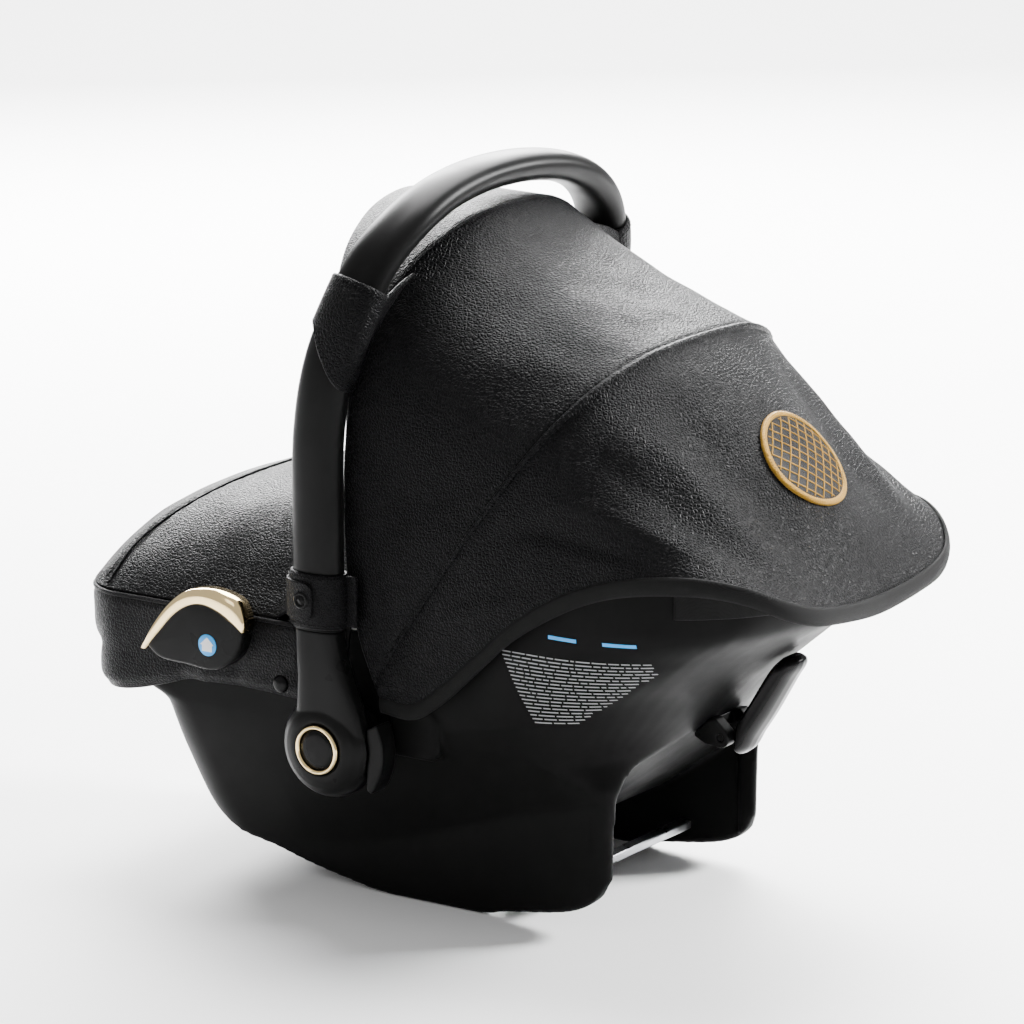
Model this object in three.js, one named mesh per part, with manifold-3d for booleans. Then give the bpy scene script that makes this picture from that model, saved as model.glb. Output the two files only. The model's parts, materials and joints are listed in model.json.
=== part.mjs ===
// Infant car seat (rear-facing baby carrier) with a tilting carry handle and a folding canopy.
// Millimetres, +Z up, -Y at the foot end, +Y at the head end, origin under the middle of the
// whole object on the surface that the rocker shell stands on.
import * as THREE from 'three';
import { mergeVertices } from 'three/addons/utils/BufferGeometryUtils.js';
import Module from 'manifold-3d';

const wasm = await Module();
wasm.setup();

// ---- driving dimensions ------------------------------------------------------------------
const CENTRE_SHIFT = 2.35;            // moves the seat so that the origin is mid-length
const PIVOT = { y: -66, z: 145 };    // axis of the handle and of the canopy bows
const GAP = 0.4;                     // air between touching pieces
const SIDES = [['left', -1], ['right', 1]];

const BASE_HALF_WIDTH = 122;         // outer faces of the two rockers
const RIM_HALF_WIDTH = 176;          // widest part of the shell
const SHELL_WALL = 4;
const FOAM_THICKNESS = 14;
const COVER_THICKNESS = 6;
const ROCKER_THICKNESS = 11;

const ARM_X = 200;                   // centre line of the straight handle arms
const TUBE_WIDTH = 46;               // handle section along the seat
const TUBE_DEPTH = 27;               // handle section across the seat
const TUBE_BOTTOM_Z = 244;
const HUB_RADIUS = 43;
const HUB_FACE_X = 212;
const HUB_INNER_X = 183;
const AXLE_RADIUS = 5;
const RING_OUTER = 20.6;
const RING_INNER = 16.8;

const BACK_ANGLE = THREE.MathUtils.degToRad(28);     // recline of the backrest
const BACK_ORIGIN = { y: -58, z: 68 };               // where backrest and seat meet
const STRAP_WIDTH = 38;
const CANOPY_THICKNESS = 3;
const BOW_RADIUS = 2.5;
const BADGE_RADIUS = 47;

// ---- general helpers ---------------------------------------------------------------------
const vec = (x, y, z) => new THREE.Vector3(x, y, z);

function smoothCurve(points) {
  return new THREE.CatmullRomCurve3(points.map((p) => vec(...p)), false, 'centripetal');
}

// Piecewise linear value of a table of [position, value] rows, held past both ends.
function lookUp(table, t) {
  if (t <= table[0][0]) return table[0][1];
  for (let i = 1; i < table.length; i++) {
    const [t0, v0] = table[i - 1];
    const [t1, v1] = table[i];
    if (t <= t1) return v0 + ((v1 - v0) * (t - t0)) / (t1 - t0);
  }
  return table[table.length - 1][1];
}

function toManifold(geometry) {
  const bare = geometry.clone();
  for (const name of Object.keys(bare.attributes)) if (name !== 'position') bare.deleteAttribute(name);
  const merged = mergeVertices(bare, 1e-4);
  return new wasm.Manifold(new wasm.Mesh({
    numProp: 3,
    vertProperties: new Float32Array(merged.attributes.position.array),
    triVerts: new Uint32Array(merged.index.array),
  }));
}

function toGeometry(manifold) {
  const { vertProperties, triVerts } = manifold.getMesh();
  const geometry = new THREE.BufferGeometry();
  geometry.setAttribute('position', new THREE.BufferAttribute(new Float32Array(vertProperties), 3));
  geometry.setIndex(new THREE.BufferAttribute(new Uint32Array(triVerts), 1));
  const flat = geometry.toNonIndexed();
  flat.computeVertexNormals();
  return flat;
}

const unite = (...solids) => solids.reduce((sum, solid) => sum.add(solid));
const cut = (solid, ...tools) => tools.reduce((rest, tool) => rest.subtract(tool), solid);

function indexed(points, faces) {
  const geometry = new THREE.BufferGeometry();
  const flat = new Float32Array(points.length * 3);
  points.forEach((p, i) => p.toArray(flat, 3 * i));
  geometry.setAttribute('position', new THREE.BufferAttribute(flat, 3));
  geometry.setIndex(faces);
  geometry.computeVertexNormals();
  return geometry;
}

// Closed skin through a stack of rings with equal point counts; the rings turn right-handed
// about the direction in which they are stacked, and the first and last ring are capped.
function loft(rings) {
  const count = rings[0].length;
  const points = rings.flat();
  const faces = [];
  for (let r = 0; r + 1 < rings.length; r++) {
    for (let i = 0; i < count; i++) {
      const a = r * count + i;
      const b = r * count + ((i + 1) % count);
      faces.push(a, b, b + count, a, b + count, a + count);
    }
  }
  const addCap = (ring, start, flip) => {
    const centre = ring.reduce((sum, p) => sum.add(p), vec(0, 0, 0)).divideScalar(count);
    const hub = points.push(centre) - 1;
    for (let i = 0; i < count; i++) {
      const a = start + i;
      const b = start + ((i + 1) % count);
      faces.push(...(flip ? [hub, b, a] : [hub, a, b]));
    }
  };
  addCap(rings[0], 0, true);
  addCap(rings[rings.length - 1], (rings.length - 1) * count, false);
  return indexed(points, faces);
}

// Tube-like skin whose section is hollow: outer and inner rings of equal counts.
function sleeve(outerRings, innerRings) {
  const count = outerRings[0].length;
  const last = outerRings.length - 1;
  const points = [...outerRings.flat(), ...innerRings.flat()];
  const inner = outerRings.length * count;
  const faces = [];
  const quad = (a, b, c, d) => faces.push(a, b, c, a, c, d);
  for (let i = 0; i < count; i++) {
    const j = (i + 1) % count;
    for (let r = 0; r < last; r++) {
      const row = r * count;
      quad(row + i, row + j, row + count + j, row + count + i);
      quad(inner + row + j, inner + row + i, inner + row + count + i, inner + row + count + j);
    }
    quad(j, i, inner + i, inner + j);
    quad(last * count + i, last * count + j, inner + last * count + j, inner + last * count + i);
  }
  return indexed(points, faces);
}

// Closed thin sheet: a grid of points (rows of columns) on its outer face, with the inner face
// set back along the surface normal. Row direction x column direction points outward.
function sheet(grid, thickness) {
  const rows = grid.length;
  const columns = grid[0].length;
  const outer = grid.flat();
  const clampIndex = (value, limit) => Math.min(Math.max(value, 0), limit - 1);
  const at = (r, c) => outer[clampIndex(r, rows) * columns + clampIndex(c, columns)];
  const inner = outer.map((p, i) => {
    const r = Math.floor(i / columns);
    const c = i % columns;
    const alongRow = at(r, c + 1).clone().sub(at(r, c - 1));
    const alongColumn = at(r + 1, c).clone().sub(at(r - 1, c));
    const normal = alongRow.cross(alongColumn).normalize();
    return p.clone().addScaledVector(normal, -thickness);
  });
  const points = [...outer, ...inner];
  const faces = [];
  const quad = (a, b, c, d) => faces.push(a, b, c, a, c, d);
  const back = outer.length;
  for (let r = 0; r + 1 < rows; r++) {
    for (let c = 0; c + 1 < columns; c++) {
      const a = r * columns + c;
      quad(a, a + 1, a + columns + 1, a + columns);
      quad(back + a, back + a + columns, back + a + columns + 1, back + a + 1);
    }
  }
  for (let c = 0; c + 1 < columns; c++) {
    const end = (rows - 1) * columns + c;
    quad(c + 1, c, back + c, back + c + 1);
    quad(end, end + 1, back + end + 1, back + end);
  }
  for (let r = 0; r + 1 < rows; r++) {
    const first = r * columns;
    const final = first + columns - 1;
    quad(first, first + columns, back + first + columns, back + first);
    quad(final + columns, final, back + final, back + final + columns);
  }
  return indexed(points, faces);
}

// Prism across the seat from a side outline of [y, z] points, between two X positions.
function acrossSeat(outline, fromX, toX, curveSegments = 6) {
  const shape = outline instanceof THREE.Shape
    ? outline : new THREE.Shape(outline.map(([y, z]) => new THREE.Vector2(y, z)));
  const prism = new THREE.ExtrudeGeometry(shape, {
    depth: toX - fromX, bevelEnabled: false, curveSegments,
  });
  prism.applyMatrix4(new THREE.Matrix4().makeBasis(vec(0, 1, 0), vec(0, 0, 1), vec(1, 0, 0)));
  return prism.translate(fromX, 0, 0);
}

// Upright prism from a plan outline of [x, y] points, between two heights.
function upright(shape, fromZ, toZ, curveSegments = 4) {
  return new THREE.ExtrudeGeometry(shape, {
    depth: toZ - fromZ, bevelEnabled: false, curveSegments,
  }).translate(0, 0, fromZ);
}

// Disc or cylinder along X, centred on the pivot axis unless told otherwise.
function axial(radius, fromX, toX, y = PIVOT.y, z = PIVOT.z, segments = 20) {
  const disc = new THREE.CylinderGeometry(radius, radius, toX - fromX, segments);
  return disc.rotateZ(-Math.PI / 2).translate((fromX + toX) / 2, y, z);
}

// Lathe about an X axis: the profile is a list of [radius, x] points from axis to axis, or a
// closed loop clear of the axis.
function latheX(profile, y = PIVOT.y, z = PIVOT.z, segments = 24) {
  const lathe = new THREE.LatheGeometry(profile.map(([r, x]) => new THREE.Vector2(r, x)), segments);
  return lathe.rotateZ(-Math.PI / 2).translate(0, y, z);
}

function box(x0, x1, y0, y1, z0, z1) {
  return new THREE.BoxGeometry(x1 - x0, y1 - y0, z1 - z0)
    .translate((x0 + x1) / 2, (y0 + y1) / 2, (z0 + z1) / 2);
}

// Corner points of a rounded rectangle, anticlockwise, with STEPS + 1 points per corner.
function roundedRing(halfWidth, halfHeight, radius) {
  const STEPS = 3;
  const corners = [[1, -1, -0.5], [1, 1, 0], [-1, 1, 0.5], [-1, -1, 1]];
  return corners.flatMap(([sx, sy, turn]) => Array.from({ length: STEPS + 1 }, (_, i) => {
    const angle = Math.PI * (turn + i / (2 * STEPS));
    return [sx * (halfWidth - radius) + radius * Math.cos(angle),
      sy * (halfHeight - radius) + radius * Math.sin(angle)];
  }));
}

// Soft slab with crowned faces: rounded rectangle rings that shrink towards both faces.
function pad(width, length, thickness, corner = 18) {
  const levels = [[-0.5, 7], [-0.32, 1.5], [0, 0], [0.32, 1.5], [0.5, 7]];
  return loft(levels.map(([level, inset]) => {
    const outline = roundedRing(width / 2 - inset, length / 2 - inset, corner);
    return outline.map(([x, y]) => vec(x, y, level * thickness));
  }));
}

// Mirror image of a geometry across the middle plane of the seat.
function mirrored(geometry) {
  const copy = geometry.index ? geometry.toNonIndexed() : geometry.clone();
  const position = copy.attributes.position;
  for (let i = 0; i < position.count; i += 3) {
    const corner = (k) => vec().fromBufferAttribute(position, i + k);
    [corner(0), corner(2), corner(1)].forEach((p, k) => position.setXYZ(i + k, -p.x, p.y, p.z));
  }
  copy.computeVertexNormals();
  return copy;
}

const onSide = (geometry, side) => (side > 0 ? geometry : mirrored(geometry));

// ---- materials and scene graph -----------------------------------------------------------
const finish = (color, roughness, metalness = 0) =>
  new THREE.MeshStandardMaterial({ color, roughness, metalness });
const SHELL_PLASTIC = () => finish(0x17171a, 0.5);
const SATIN_PLASTIC = () => finish(0x121214, 0.38);
const GLOSS_PLASTIC = () => finish(0x0a0a0b, 0.15);
const FAUX_LEATHER = () => finish(0x111112, 0.42);
const WEBBING = () => finish(0x0d0d0e, 0.8);
const KNIT = () => finish(0x1c1c1f, 0.9);
const FOAM = () => finish(0xe9e9e4, 0.9);
const STEEL = () => finish(0x6f7275, 0.35, 1);
const GOLD = () => finish(0xc9a45a, 0.22, 1);
const GOLD_THREAD = () => finish(0xb8924a, 0.6, 0.3);
const RED_PLASTIC = () => finish(0xb01818, 0.35);

const carSeat = new THREE.Group();
const seat = new THREE.Group();
seat.position.y = CENTRE_SHIFT;
carSeat.add(seat);
const backrest = new THREE.Group();
backrest.position.set(0, BACK_ORIGIN.y, BACK_ORIGIN.z);
backrest.rotation.x = BACK_ANGLE;
seat.add(backrest);

function add(name, geometry, material, parent = seat) {
  const solid = geometry instanceof wasm.Manifold ? toGeometry(geometry) : geometry;
  const mesh = new THREE.Mesh(solid, material);
  mesh.name = name;
  parent.add(mesh);
  return mesh;
}

// ---- shell form --------------------------------------------------------------------------
// Front and back limits of the shell at each height, and the corner radii of its plan.
const FRONT_Y = [[0, -225], [30, -256], [60, -268], [100, -273], [143, -277], [165, -313],
  [195, -329], [250, -332]];
const BACK_Y = [[0, 152], [100, 154], [118, 156], [131, 160], [150, 173], [176, 198],
  [203, 223], [218, 240], [240, 265], [270, 298], [345, 300]];
const FRONT_RADIUS = [[0, 60], [30, 55], [143, 46], [195, 38], [250, 40]];
const BACK_RADIUS = [[0, 14], [118, 16], [131, 40], [150, 90], [176, 125], [203, 140], [345, 150]];
const RING_HEIGHTS = [-6, 30, 60, 100, 118, 131, 150, 165, 176, 203, 240, 270, 350];
const LINING_HEIGHTS = [-6, 60, 118, 150, 176, 203, 240, 270, 350];

// Outline of the underside flare: below LOW the wall is at the rocker width, above HIGH it has
// its full width, and the crease between them climbs towards the head end.
const FLARE_LOW = [[-150, 30], [-60, 48], [60, 88], [150, 116], [186, 148], [256, 200], [330, 262]];
const FLARE_HIGH = [[-230, 150], [-60, 152], [60, 172], [120, 186], [176, 210], [213, 231],
  [250, 255], [290, 285]];

function shellHalfWidth(y, z) {
  const low = lookUp(FLARE_LOW, y);
  const high = lookUp(FLARE_HIGH, y);
  const flare = THREE.MathUtils.clamp((z - low) / (high - low), 0, 1);
  const upper = 166 + (RIM_HALF_WIDTH - 166) * THREE.MathUtils.clamp((z - 150) / 90, 0, 1);
  return BASE_HALF_WIDTH + (upper - BASE_HALF_WIDTH) * flare;
}

// Plan ring of the shell at one height, grown (or shrunk) by an offset.
function shellRing(z, offset) {
  const front = lookUp(FRONT_Y, z) - offset;
  const back = lookUp(BACK_Y, z) + offset;
  const frontRadius = Math.max(lookUp(FRONT_RADIUS, z) + offset, 8);
  const backRadius = Math.max(lookUp(BACK_RADIUS, z) + offset, 8);
  const CORNER_STEPS = 4;
  const SIDE_STEPS = 3;
  const side = [];
  for (let i = 0; i <= CORNER_STEPS; i++) {
    const angle = (Math.PI / 2) * (i / CORNER_STEPS);
    side.push([frontRadius * (1 - Math.sin(angle)), front + frontRadius * (1 - Math.cos(angle))]);
  }
  for (let i = 1; i < SIDE_STEPS; i++) {
    const y = THREE.MathUtils.lerp(front + frontRadius, back - backRadius, i / SIDE_STEPS);
    side.push([0, y]);
  }
  for (let i = 0; i <= CORNER_STEPS; i++) {
    const angle = (Math.PI / 2) * (i / CORNER_STEPS);
    side.push([backRadius * (1 - Math.cos(angle)), back - backRadius * (1 - Math.sin(angle))]);
  }
  const right = side.map(([inset, y]) => {
    return vec(Math.max(shellHalfWidth(y, z) + offset - inset, 2), y, z);
  });
  const left = right.map((p) => vec(-p.x, p.y, p.z)).reverse();
  return [...right, ...left];
}

function shellLoft(offset, heights = RING_HEIGHTS) {
  return toManifold(loft(heights.map((z) => shellRing(z, offset))));
}

// Side outlines, as [y, z] from the foot end to the head end.
const RIM_LINE = [[-400, 236], [-110, 236], [-20, 243], [50, 262], [100, 286], [150, 302],
  [200, 311], [400, 306]];
const ROCKER_LINE = [[-295, 100], [-266, 60], [-245, 44], [-215, 29], [-174, 21], [-151, 15],
  [-100, 5], [-64, 0], [34, 0], [51, 4], [110, 14], [128, 20], [144, 32], [152, 48]];
const FLOOR_LINE = [[-300, 215], [-268, 150], [-246, 100], [-215, 70], [-174, 52], [-120, 44],
  [-60, 42], [0, 46], [60, 68], [120, 110], [160, 146], [190, 175], [212, 198], [235, 222],
  [262, 247], [290, 276], [330, 330]];
const FLANGE_Y = 138;                // the rockers' inward returns start here
// Arched mouth of the tunnel in the back of the shell, as [x, z] on the right half, and the
// sloping roof that limits its height along the seat.
const MOUTH = [[107, -20], [107, 104], [104, 119], [94, 132], [76, 145], [56, 157], [26, 169],
  [0, 171]];
const MOUTH_ROOF = [[100, -20], [100, 82], [160, 139], [190, 168], [240, 214], [240, -20]];
const TUNNEL_ROOF = [[-205, -20], [-205, 58], [-174, 46], [-120, 38], [-60, 36], [0, 40],
  [60, 58], [110, 94], [138, 118], [138, -20]];
// Visible surface of the padded lining: seat, then the straight backrest.
const SEAT_LINE = [[-300, 232], [-262, 165], [-235, 124], [-190, 90], [-120, 74], [-60, 70],
  [0, 98], [205, 207.3], [235, 237], [262, 266], [290, 302], [330, 360]];

function belowRim(drop) {
  const top = RIM_LINE.map(([y, z]) => [y, z - drop]);
  return toManifold(acrossSeat([[-400, -40], [400, -40], ...top.reverse()], -260, 260));
}

function above(line, rise) {
  const floor = line.map(([y, z]) => [y, z + rise]);
  return toManifold(acrossSeat([...floor, [400, 420], [400, 600], [-400, 600], [-400, 260]],
    -260, 260));
}

// Prism along the seat from the mouth's outline, under its sloping roof.
function tunnelMouth() {
  const half = MOUTH.map(([x, z]) => new THREE.Vector2(x, z));
  const otherHalf = MOUTH.slice(0, -1).reverse().map(([x, z]) => new THREE.Vector2(-x, z));
  const prism = new THREE.ExtrudeGeometry(new THREE.Shape([...half, ...otherHalf]), {
    depth: 300, bevelEnabled: false,
  });
  return toManifold(prism.rotateX(Math.PI / 2).translate(0, 320, 0))
    .intersect(toManifold(acrossSeat(MOUTH_ROOF, -150, 150)));
}

function shell() {
  const rocker = [...ROCKER_LINE, [170, 60], [400, 60], [400, 400], [-400, 400], [-400, 100]];
  const body = shellLoft(0)
    .intersect(toManifold(acrossSeat(rocker, -260, 260)))
    .intersect(belowRim(0));
  const bucket = shellLoft(-SHELL_WALL).intersect(above(FLOOR_LINE, 0));
  const innerX = BASE_HALF_WIDTH - ROCKER_THICKNESS;
  const wideTunnel = toManifold(acrossSeat(TUNNEL_ROOF, -innerX, innerX))
    .intersect(toManifold(box(-150, 150, -300, FLANGE_Y, -100, 300)));
  const hollow = cut(body, bucket, wideTunnel, tunnelMouth());
  const fittings = SIDES.flatMap(([, side]) => [
    toManifold(onSide(axial(31, 150, 175), side)),
    toManifold(onSide(adapterBlock(), side)),
  ]);
  const holes = SIDES.map(([, side]) => toManifold(onSide(axial(AXLE_RADIUS + GAP, 140, 190), side)));
  return cut(unite(hollow, ...fittings.map((fitting) => fitting.subtract(bucket))), ...holes);
}

// Pushchair adapter block behind each hub.
function adapterBlock() {
  const outline = [[-22, 138], [18, 138], [24, 144], [24, 172], [16, 180], [-22, 180]];
  return acrossSeat(outline, 150, 172);
}

add('shell', shell(), SHELL_PLASTIC());

// ---- lining ------------------------------------------------------------------------------
const FOAM_OUT = SHELL_WALL + GAP;
const FOAM_IN = FOAM_OUT + FOAM_THICKNESS;
const COVER_OUT = FOAM_IN + GAP;
const COVER_IN = COVER_OUT + COVER_THICKNESS;
const SKIRT_GROW = 2;                // how far the cover's elastic edge stands outside the shell

function foamLiner() {
  const outside = shellLoft(-FOAM_OUT).intersect(above(FLOOR_LINE, GAP)).intersect(belowRim(3));
  const inside = shellLoft(-FOAM_IN, LINING_HEIGHTS).intersect(above(SEAT_LINE, -COVER_THICKNESS - GAP));
  return cut(outside, inside);
}
add('foam_liner', foamLiner(), FOAM());

// The cover lines the bucket, rolls over the rim and ends in an elastic edge outside it.
function seatCover() {
  const lining = shellLoft(-COVER_OUT, LINING_HEIGHTS)
    .intersect(above(SEAT_LINE, -COVER_THICKNESS)).intersect(belowRim(-4))
    .subtract(shellLoft(-COVER_IN, LINING_HEIGHTS).intersect(above(SEAT_LINE, 0)));
  const bandAlongRim = (drop, rise, fromY) => {
    const line = RIM_LINE.filter(([y]) => y > fromY);
    const low = line.map(([y, z]) => [y, z - drop]);
    const high = line.map(([y, z]) => [y, z + rise]).reverse();
    return toManifold(acrossSeat([...low, ...high], -260, 260));
  };
  const hollow = shellLoft(-COVER_IN, LINING_HEIGHTS);
  const sideRoll = bandAlongRim(-GAP, 6, -101).intersect(shellLoft(0, LINING_HEIGHTS)).subtract(hollow);
  const headRoll = bandAlongRim(-GAP, 6, 120).intersect(shellLoft(SKIRT_GROW, LINING_HEIGHTS))
    .subtract(hollow);
  const skirt = bandAlongRim(34, 6, 120).intersect(shellLoft(SKIRT_GROW, LINING_HEIGHTS))
    .subtract(shellLoft(GAP));
  return unite(lining, sideRoll, headRoll, skirt);
}

add('seat_cover', seatCover(), KNIT());

// ---- foot end cover ----------------------------------------------------------------------
const BAND_OUTLINE = [[-400, 152], [-309, 152], [-282, 155], [-256, 163], [-222, 173],
  [-108, 171], [-108, 235], [-400, 235]];

const BELT_GUIDE_OUTLINE = [[-247, 203], [-236, 220], [-219, 241], [-204, 251], [-188, 255],
  [-170, 254], [-156, 249], [-149, 234], [-150, 216], [-158, 203], [-178, 192], [-235, 195]];
const GUIDE_STEM = [[-225, 205], [-165, 205], [-162, 228], [-200, 230]];

function footBand() {
  const band = toManifold(acrossSeat(BAND_OUTLINE, -260, 260))
    .intersect(shellLoft(9)).subtract(shellLoft(GAP));
  const clearance = GUIDE_STEM.map(([y, z]) => [
    y + Math.sign(y + 195) * 1, z + Math.sign(z - 217) * 1]);
  const holes = SIDES.map(([, side]) => toManifold(onSide(acrossSeat(clearance, 150, 230), side)));
  return cut(band, ...holes);
}

add('foot_cover_band', footBand(), FAUX_LEATHER());

// Domed apron over the legs: a skin between an upper and a lower height field.
const APRON_CROWN = [[-343, 262], [-334, 280], [-316, 294], [-290, 307], [-250, 321],
  [-200, 332], [-150, 339], [-100, 339], [-72, 331]];
const APRON_EDGE = [[-130, 240], [-104, 257]];
const APRON_START_Y = -341;
const APRON_END_Y = -74;
const APRON_CORNER = 48;             // corner radius of its foot end, in plan

function apronPoint(u, v, drop) {
  const y = THREE.MathUtils.lerp(APRON_START_Y + drop, APRON_END_Y, v);
  const inward = Math.max(0, APRON_START_Y + APRON_CORNER - y);
  const corner = APRON_CORNER - Math.sqrt(Math.max(APRON_CORNER ** 2 - inward ** 2, 0));
  const half = 181 - corner - drop;
  const crown = lookUp(APRON_CROWN, y);
  const edge = lookUp(APRON_EDGE, y);
  const rise = (crown - edge) * (1 - Math.abs(u) ** 2.6);
  return vec(u * half, y, edge + rise - drop);
}

function apron() {
  const COLUMNS = 12;
  const ROWS = 9;
  const grid = [];
  for (let r = 0; r <= ROWS; r++) {
    const row = [];
    for (let c = 0; c <= COLUMNS; c++) {
      const u = Math.sin(((c / COLUMNS) * 2 - 1) * (Math.PI / 2));
      row.push(apronPoint(u, r / ROWS, 0));
    }
    grid.push(row);
  }
  return sheet(grid, 4);
}

add('foot_cover_apron', apron(), FAUX_LEATHER());

// ---- belt guides -------------------------------------------------------------------------
const GUIDE_INNER_X = 187.5;
const GUIDE_OUTER_X = 203;

function beltGuide() {
  const plate = toManifold(acrossSeat(BELT_GUIDE_OUTLINE, GUIDE_INNER_X, GUIDE_OUTER_X));
  const stem = toManifold(acrossSeat(GUIDE_STEM, 170, GUIDE_INNER_X + 1));
  return unite(plate, stem).subtract(shellLoft(GAP));
}

// Metal crest along the upper edge of the guide.
function guideTrim() {
  const path = [[-250, 203], [-240, 221], [-222, 243], [-206, 254], [-188, 259], [-168, 258],
    [-152, 252], [-145, 236]];
  const inner = [[-147, 236], [-154, 249.5], [-169, 255], [-188, 256], [-204.5, 252],
    [-219.7, 242], [-237, 220.4], [-247.6, 203]];
  return acrossSeat([...path.reverse(), ...inner.reverse()], GUIDE_INNER_X + 1, GUIDE_OUTER_X + 2);
}

for (const [name, side] of SIDES) {
  add(`belt_guide_${name}`, onSide(toGeometry(beltGuide()), side), SATIN_PLASTIC());
  add(`belt_guide_trim_${name}`, onSide(guideTrim(), side), GOLD());
  const snap = latheX([[0, 185.8], [7.5, 185.8], [7.5, 187], [5, 189.5], [0, 190]], -121, 186, 16);
  add(`foot_cover_snap_${name}`, onSide(snap, side), GLOSS_PLASTIC());
}

// ---- handle ------------------------------------------------------------------------------
const HANDLE_POINTS = [[200, -72, TUBE_BOTTOM_Z], [200, -72, 330], [199.5, -71, 405],
  [195, -64, 458], [184, -51, 505], [162, -42, 543], [130, -36, 567], [92, -35, 582],
  [46, -36, 590], [0, -37, 592]];
const HANDLE_PATH = smoothCurve([...HANDLE_POINTS,
  ...HANDLE_POINTS.slice(0, -1).reverse().map(([x, y, z]) => [-x, y, z])]);

// Oval ring round the handle path; the wide axis of the oval stays along the seat.
function handleRing(t, grow, segments = 12) {
  const centre = HANDLE_PATH.getPointAt(t);
  const tangent = HANDLE_PATH.getTangentAt(t);
  const wide = vec(0, 1, 0).addScaledVector(tangent, -tangent.y).normalize();
  const deep = tangent.clone().cross(wide);
  const ring = [];
  for (let i = 0; i < segments; i++) {
    const angle = (2 * Math.PI * i) / segments;
    ring.push(centre.clone()
      .addScaledVector(wide, (TUBE_WIDTH / 2 + grow) * Math.cos(angle))
      .addScaledVector(deep, (TUBE_DEPTH / 2 + grow) * Math.sin(angle)));
  }
  return ring;
}

function handleTube() {
  const STEPS = 34;
  return loft(Array.from({ length: STEPS + 1 }, (_, i) => handleRing(i / STEPS, 0)));
}

add('handle_tube', handleTube(), SATIN_PLASTIC());

// Cup-shaped hub with the neck that takes the handle tube.
function handleHub() {
  const dome = toManifold(latheX([[0, HUB_INNER_X], [38, HUB_INNER_X], [HUB_RADIUS, 187],
    [HUB_RADIUS, 196], [40, 203], [34, 208.5], [27, 211.5], [24, HUB_FACE_X], [0, HUB_FACE_X]]));
  const neckSection = (z, front, back, inner, outer) => {
    const bevel = 6;
    return [[outer - bevel, front], [outer, front + bevel], [outer, back - bevel],
      [outer - bevel, back], [inner + bevel, back], [inner, back - bevel],
      [inner, front + bevel], [inner + bevel, front]].map(([x, y]) => vec(x, y, z));
  };
  const neck = toManifold(loft([
    neckSection(140, -96, -26, 186, 206),
    neckSection(172, -93, -30, 186.5, 209),
    neckSection(205, -90, -41, 188, 210.5),
    neckSection(TUBE_BOTTOM_Z - GAP, -90.5, -50, 189.5, 211),
  ]));
  const cavity = toManifold(axial(29, HUB_INNER_X - 2, 203));
  const seatForRing = toManifold(axial(RING_OUTER + GAP, 209.5, 230));
  const bore = toManifold(axial(AXLE_RADIUS + GAP, 170, 208));
  const buttonPocket = toManifold(acrossSeat([[-28, 108], [-28, 172], [10, 172], [10, 108]],
    170, 230));
  return cut(unite(dome, neck), cavity, seatForRing, bore, buttonPocket);
}

// Curved plate on the back rim of the hub, pressed to release the handle lock.
function handleButton() {
  const shape = new THREE.Shape();
  const inner = 40.5;
  const outer = 55;
  const start = THREE.MathUtils.degToRad(-38);
  const end = THREE.MathUtils.degToRad(27);
  shape.absarc(PIVOT.y, PIVOT.z, outer, start, end, false);
  shape.absarc(PIVOT.y, PIVOT.z, inner, end, start, true);
  const plate = toManifold(acrossSeat(shape, 180, 199, 8));
  const trim = toManifold(acrossSeat([[-27, 106], [-27, 174], [12, 174], [12, 106]], 160, 230));
  return plate.intersect(trim);
}

function lockGear() {
  const TEETH = 8;
  const shape = new THREE.Shape();
  for (let i = 0; i < TEETH * 4; i++) {
    const angle = (2 * Math.PI * (i + 0.5)) / (TEETH * 4);
    const radius = i % 4 < 2 ? 27 : 23;
    const corner = [PIVOT.y + radius * Math.cos(angle), PIVOT.z + radius * Math.sin(angle)];
    if (i === 0) shape.moveTo(...corner);
    else shape.lineTo(...corner);
  }
  const hole = new THREE.Path();
  hole.absarc(PIVOT.y, PIVOT.z, AXLE_RADIUS + 1, 0, 2 * Math.PI, true);
  shape.holes.push(hole);
  return acrossSeat(shape, 188, 194, 5);
}

for (const [name, side] of SIDES) {
  const disc = toManifold(axial(33, 175.4, 181.5)).subtract(toManifold(axial(AXLE_RADIUS + GAP, 170, 190)));
  add(`lock_plate_${name}`, onSide(toGeometry(disc), side), STEEL());
  add(`handle_axle_${name}`, onSide(axial(AXLE_RADIUS, 162, 206, PIVOT.y, PIVOT.z, 12), side), STEEL());
  add(`lock_gear_${name}`, onSide(lockGear(), side), STEEL());
  const spring = latheX([[8, 195], [12, 195], [12, 202], [8, 202], [8, 195]], PIVOT.y, PIVOT.z, 12);
  add(`lock_spring_${name}`, onSide(spring, side), STEEL());
  add(`handle_hub_${name}`, onSide(toGeometry(handleHub()), side), SATIN_PLASTIC());
  const ring = latheX([[RING_INNER, 210], [RING_OUTER, 210], [RING_OUTER, 213.5], [19.6, 215.2],
    [17.8, 215.2], [RING_INNER, 213.5], [RING_INNER, 210]], PIVOT.y, PIVOT.z, 24);
  add(`hub_ring_${name}`, onSide(ring, side), GOLD());
  const cap = latheX([[0, 210], [RING_INNER - GAP, 210], [RING_INNER - GAP, 212.6], [12, 213.6],
    [0, 214]], PIVOT.y, PIVOT.z, 20);
  add(`hub_cap_${name}`, onSide(cap, side), GLOSS_PLASTIC());
  add(`handle_button_${name}`, onSide(toGeometry(handleButton()), side), SATIN_PLASTIC());
}

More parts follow.
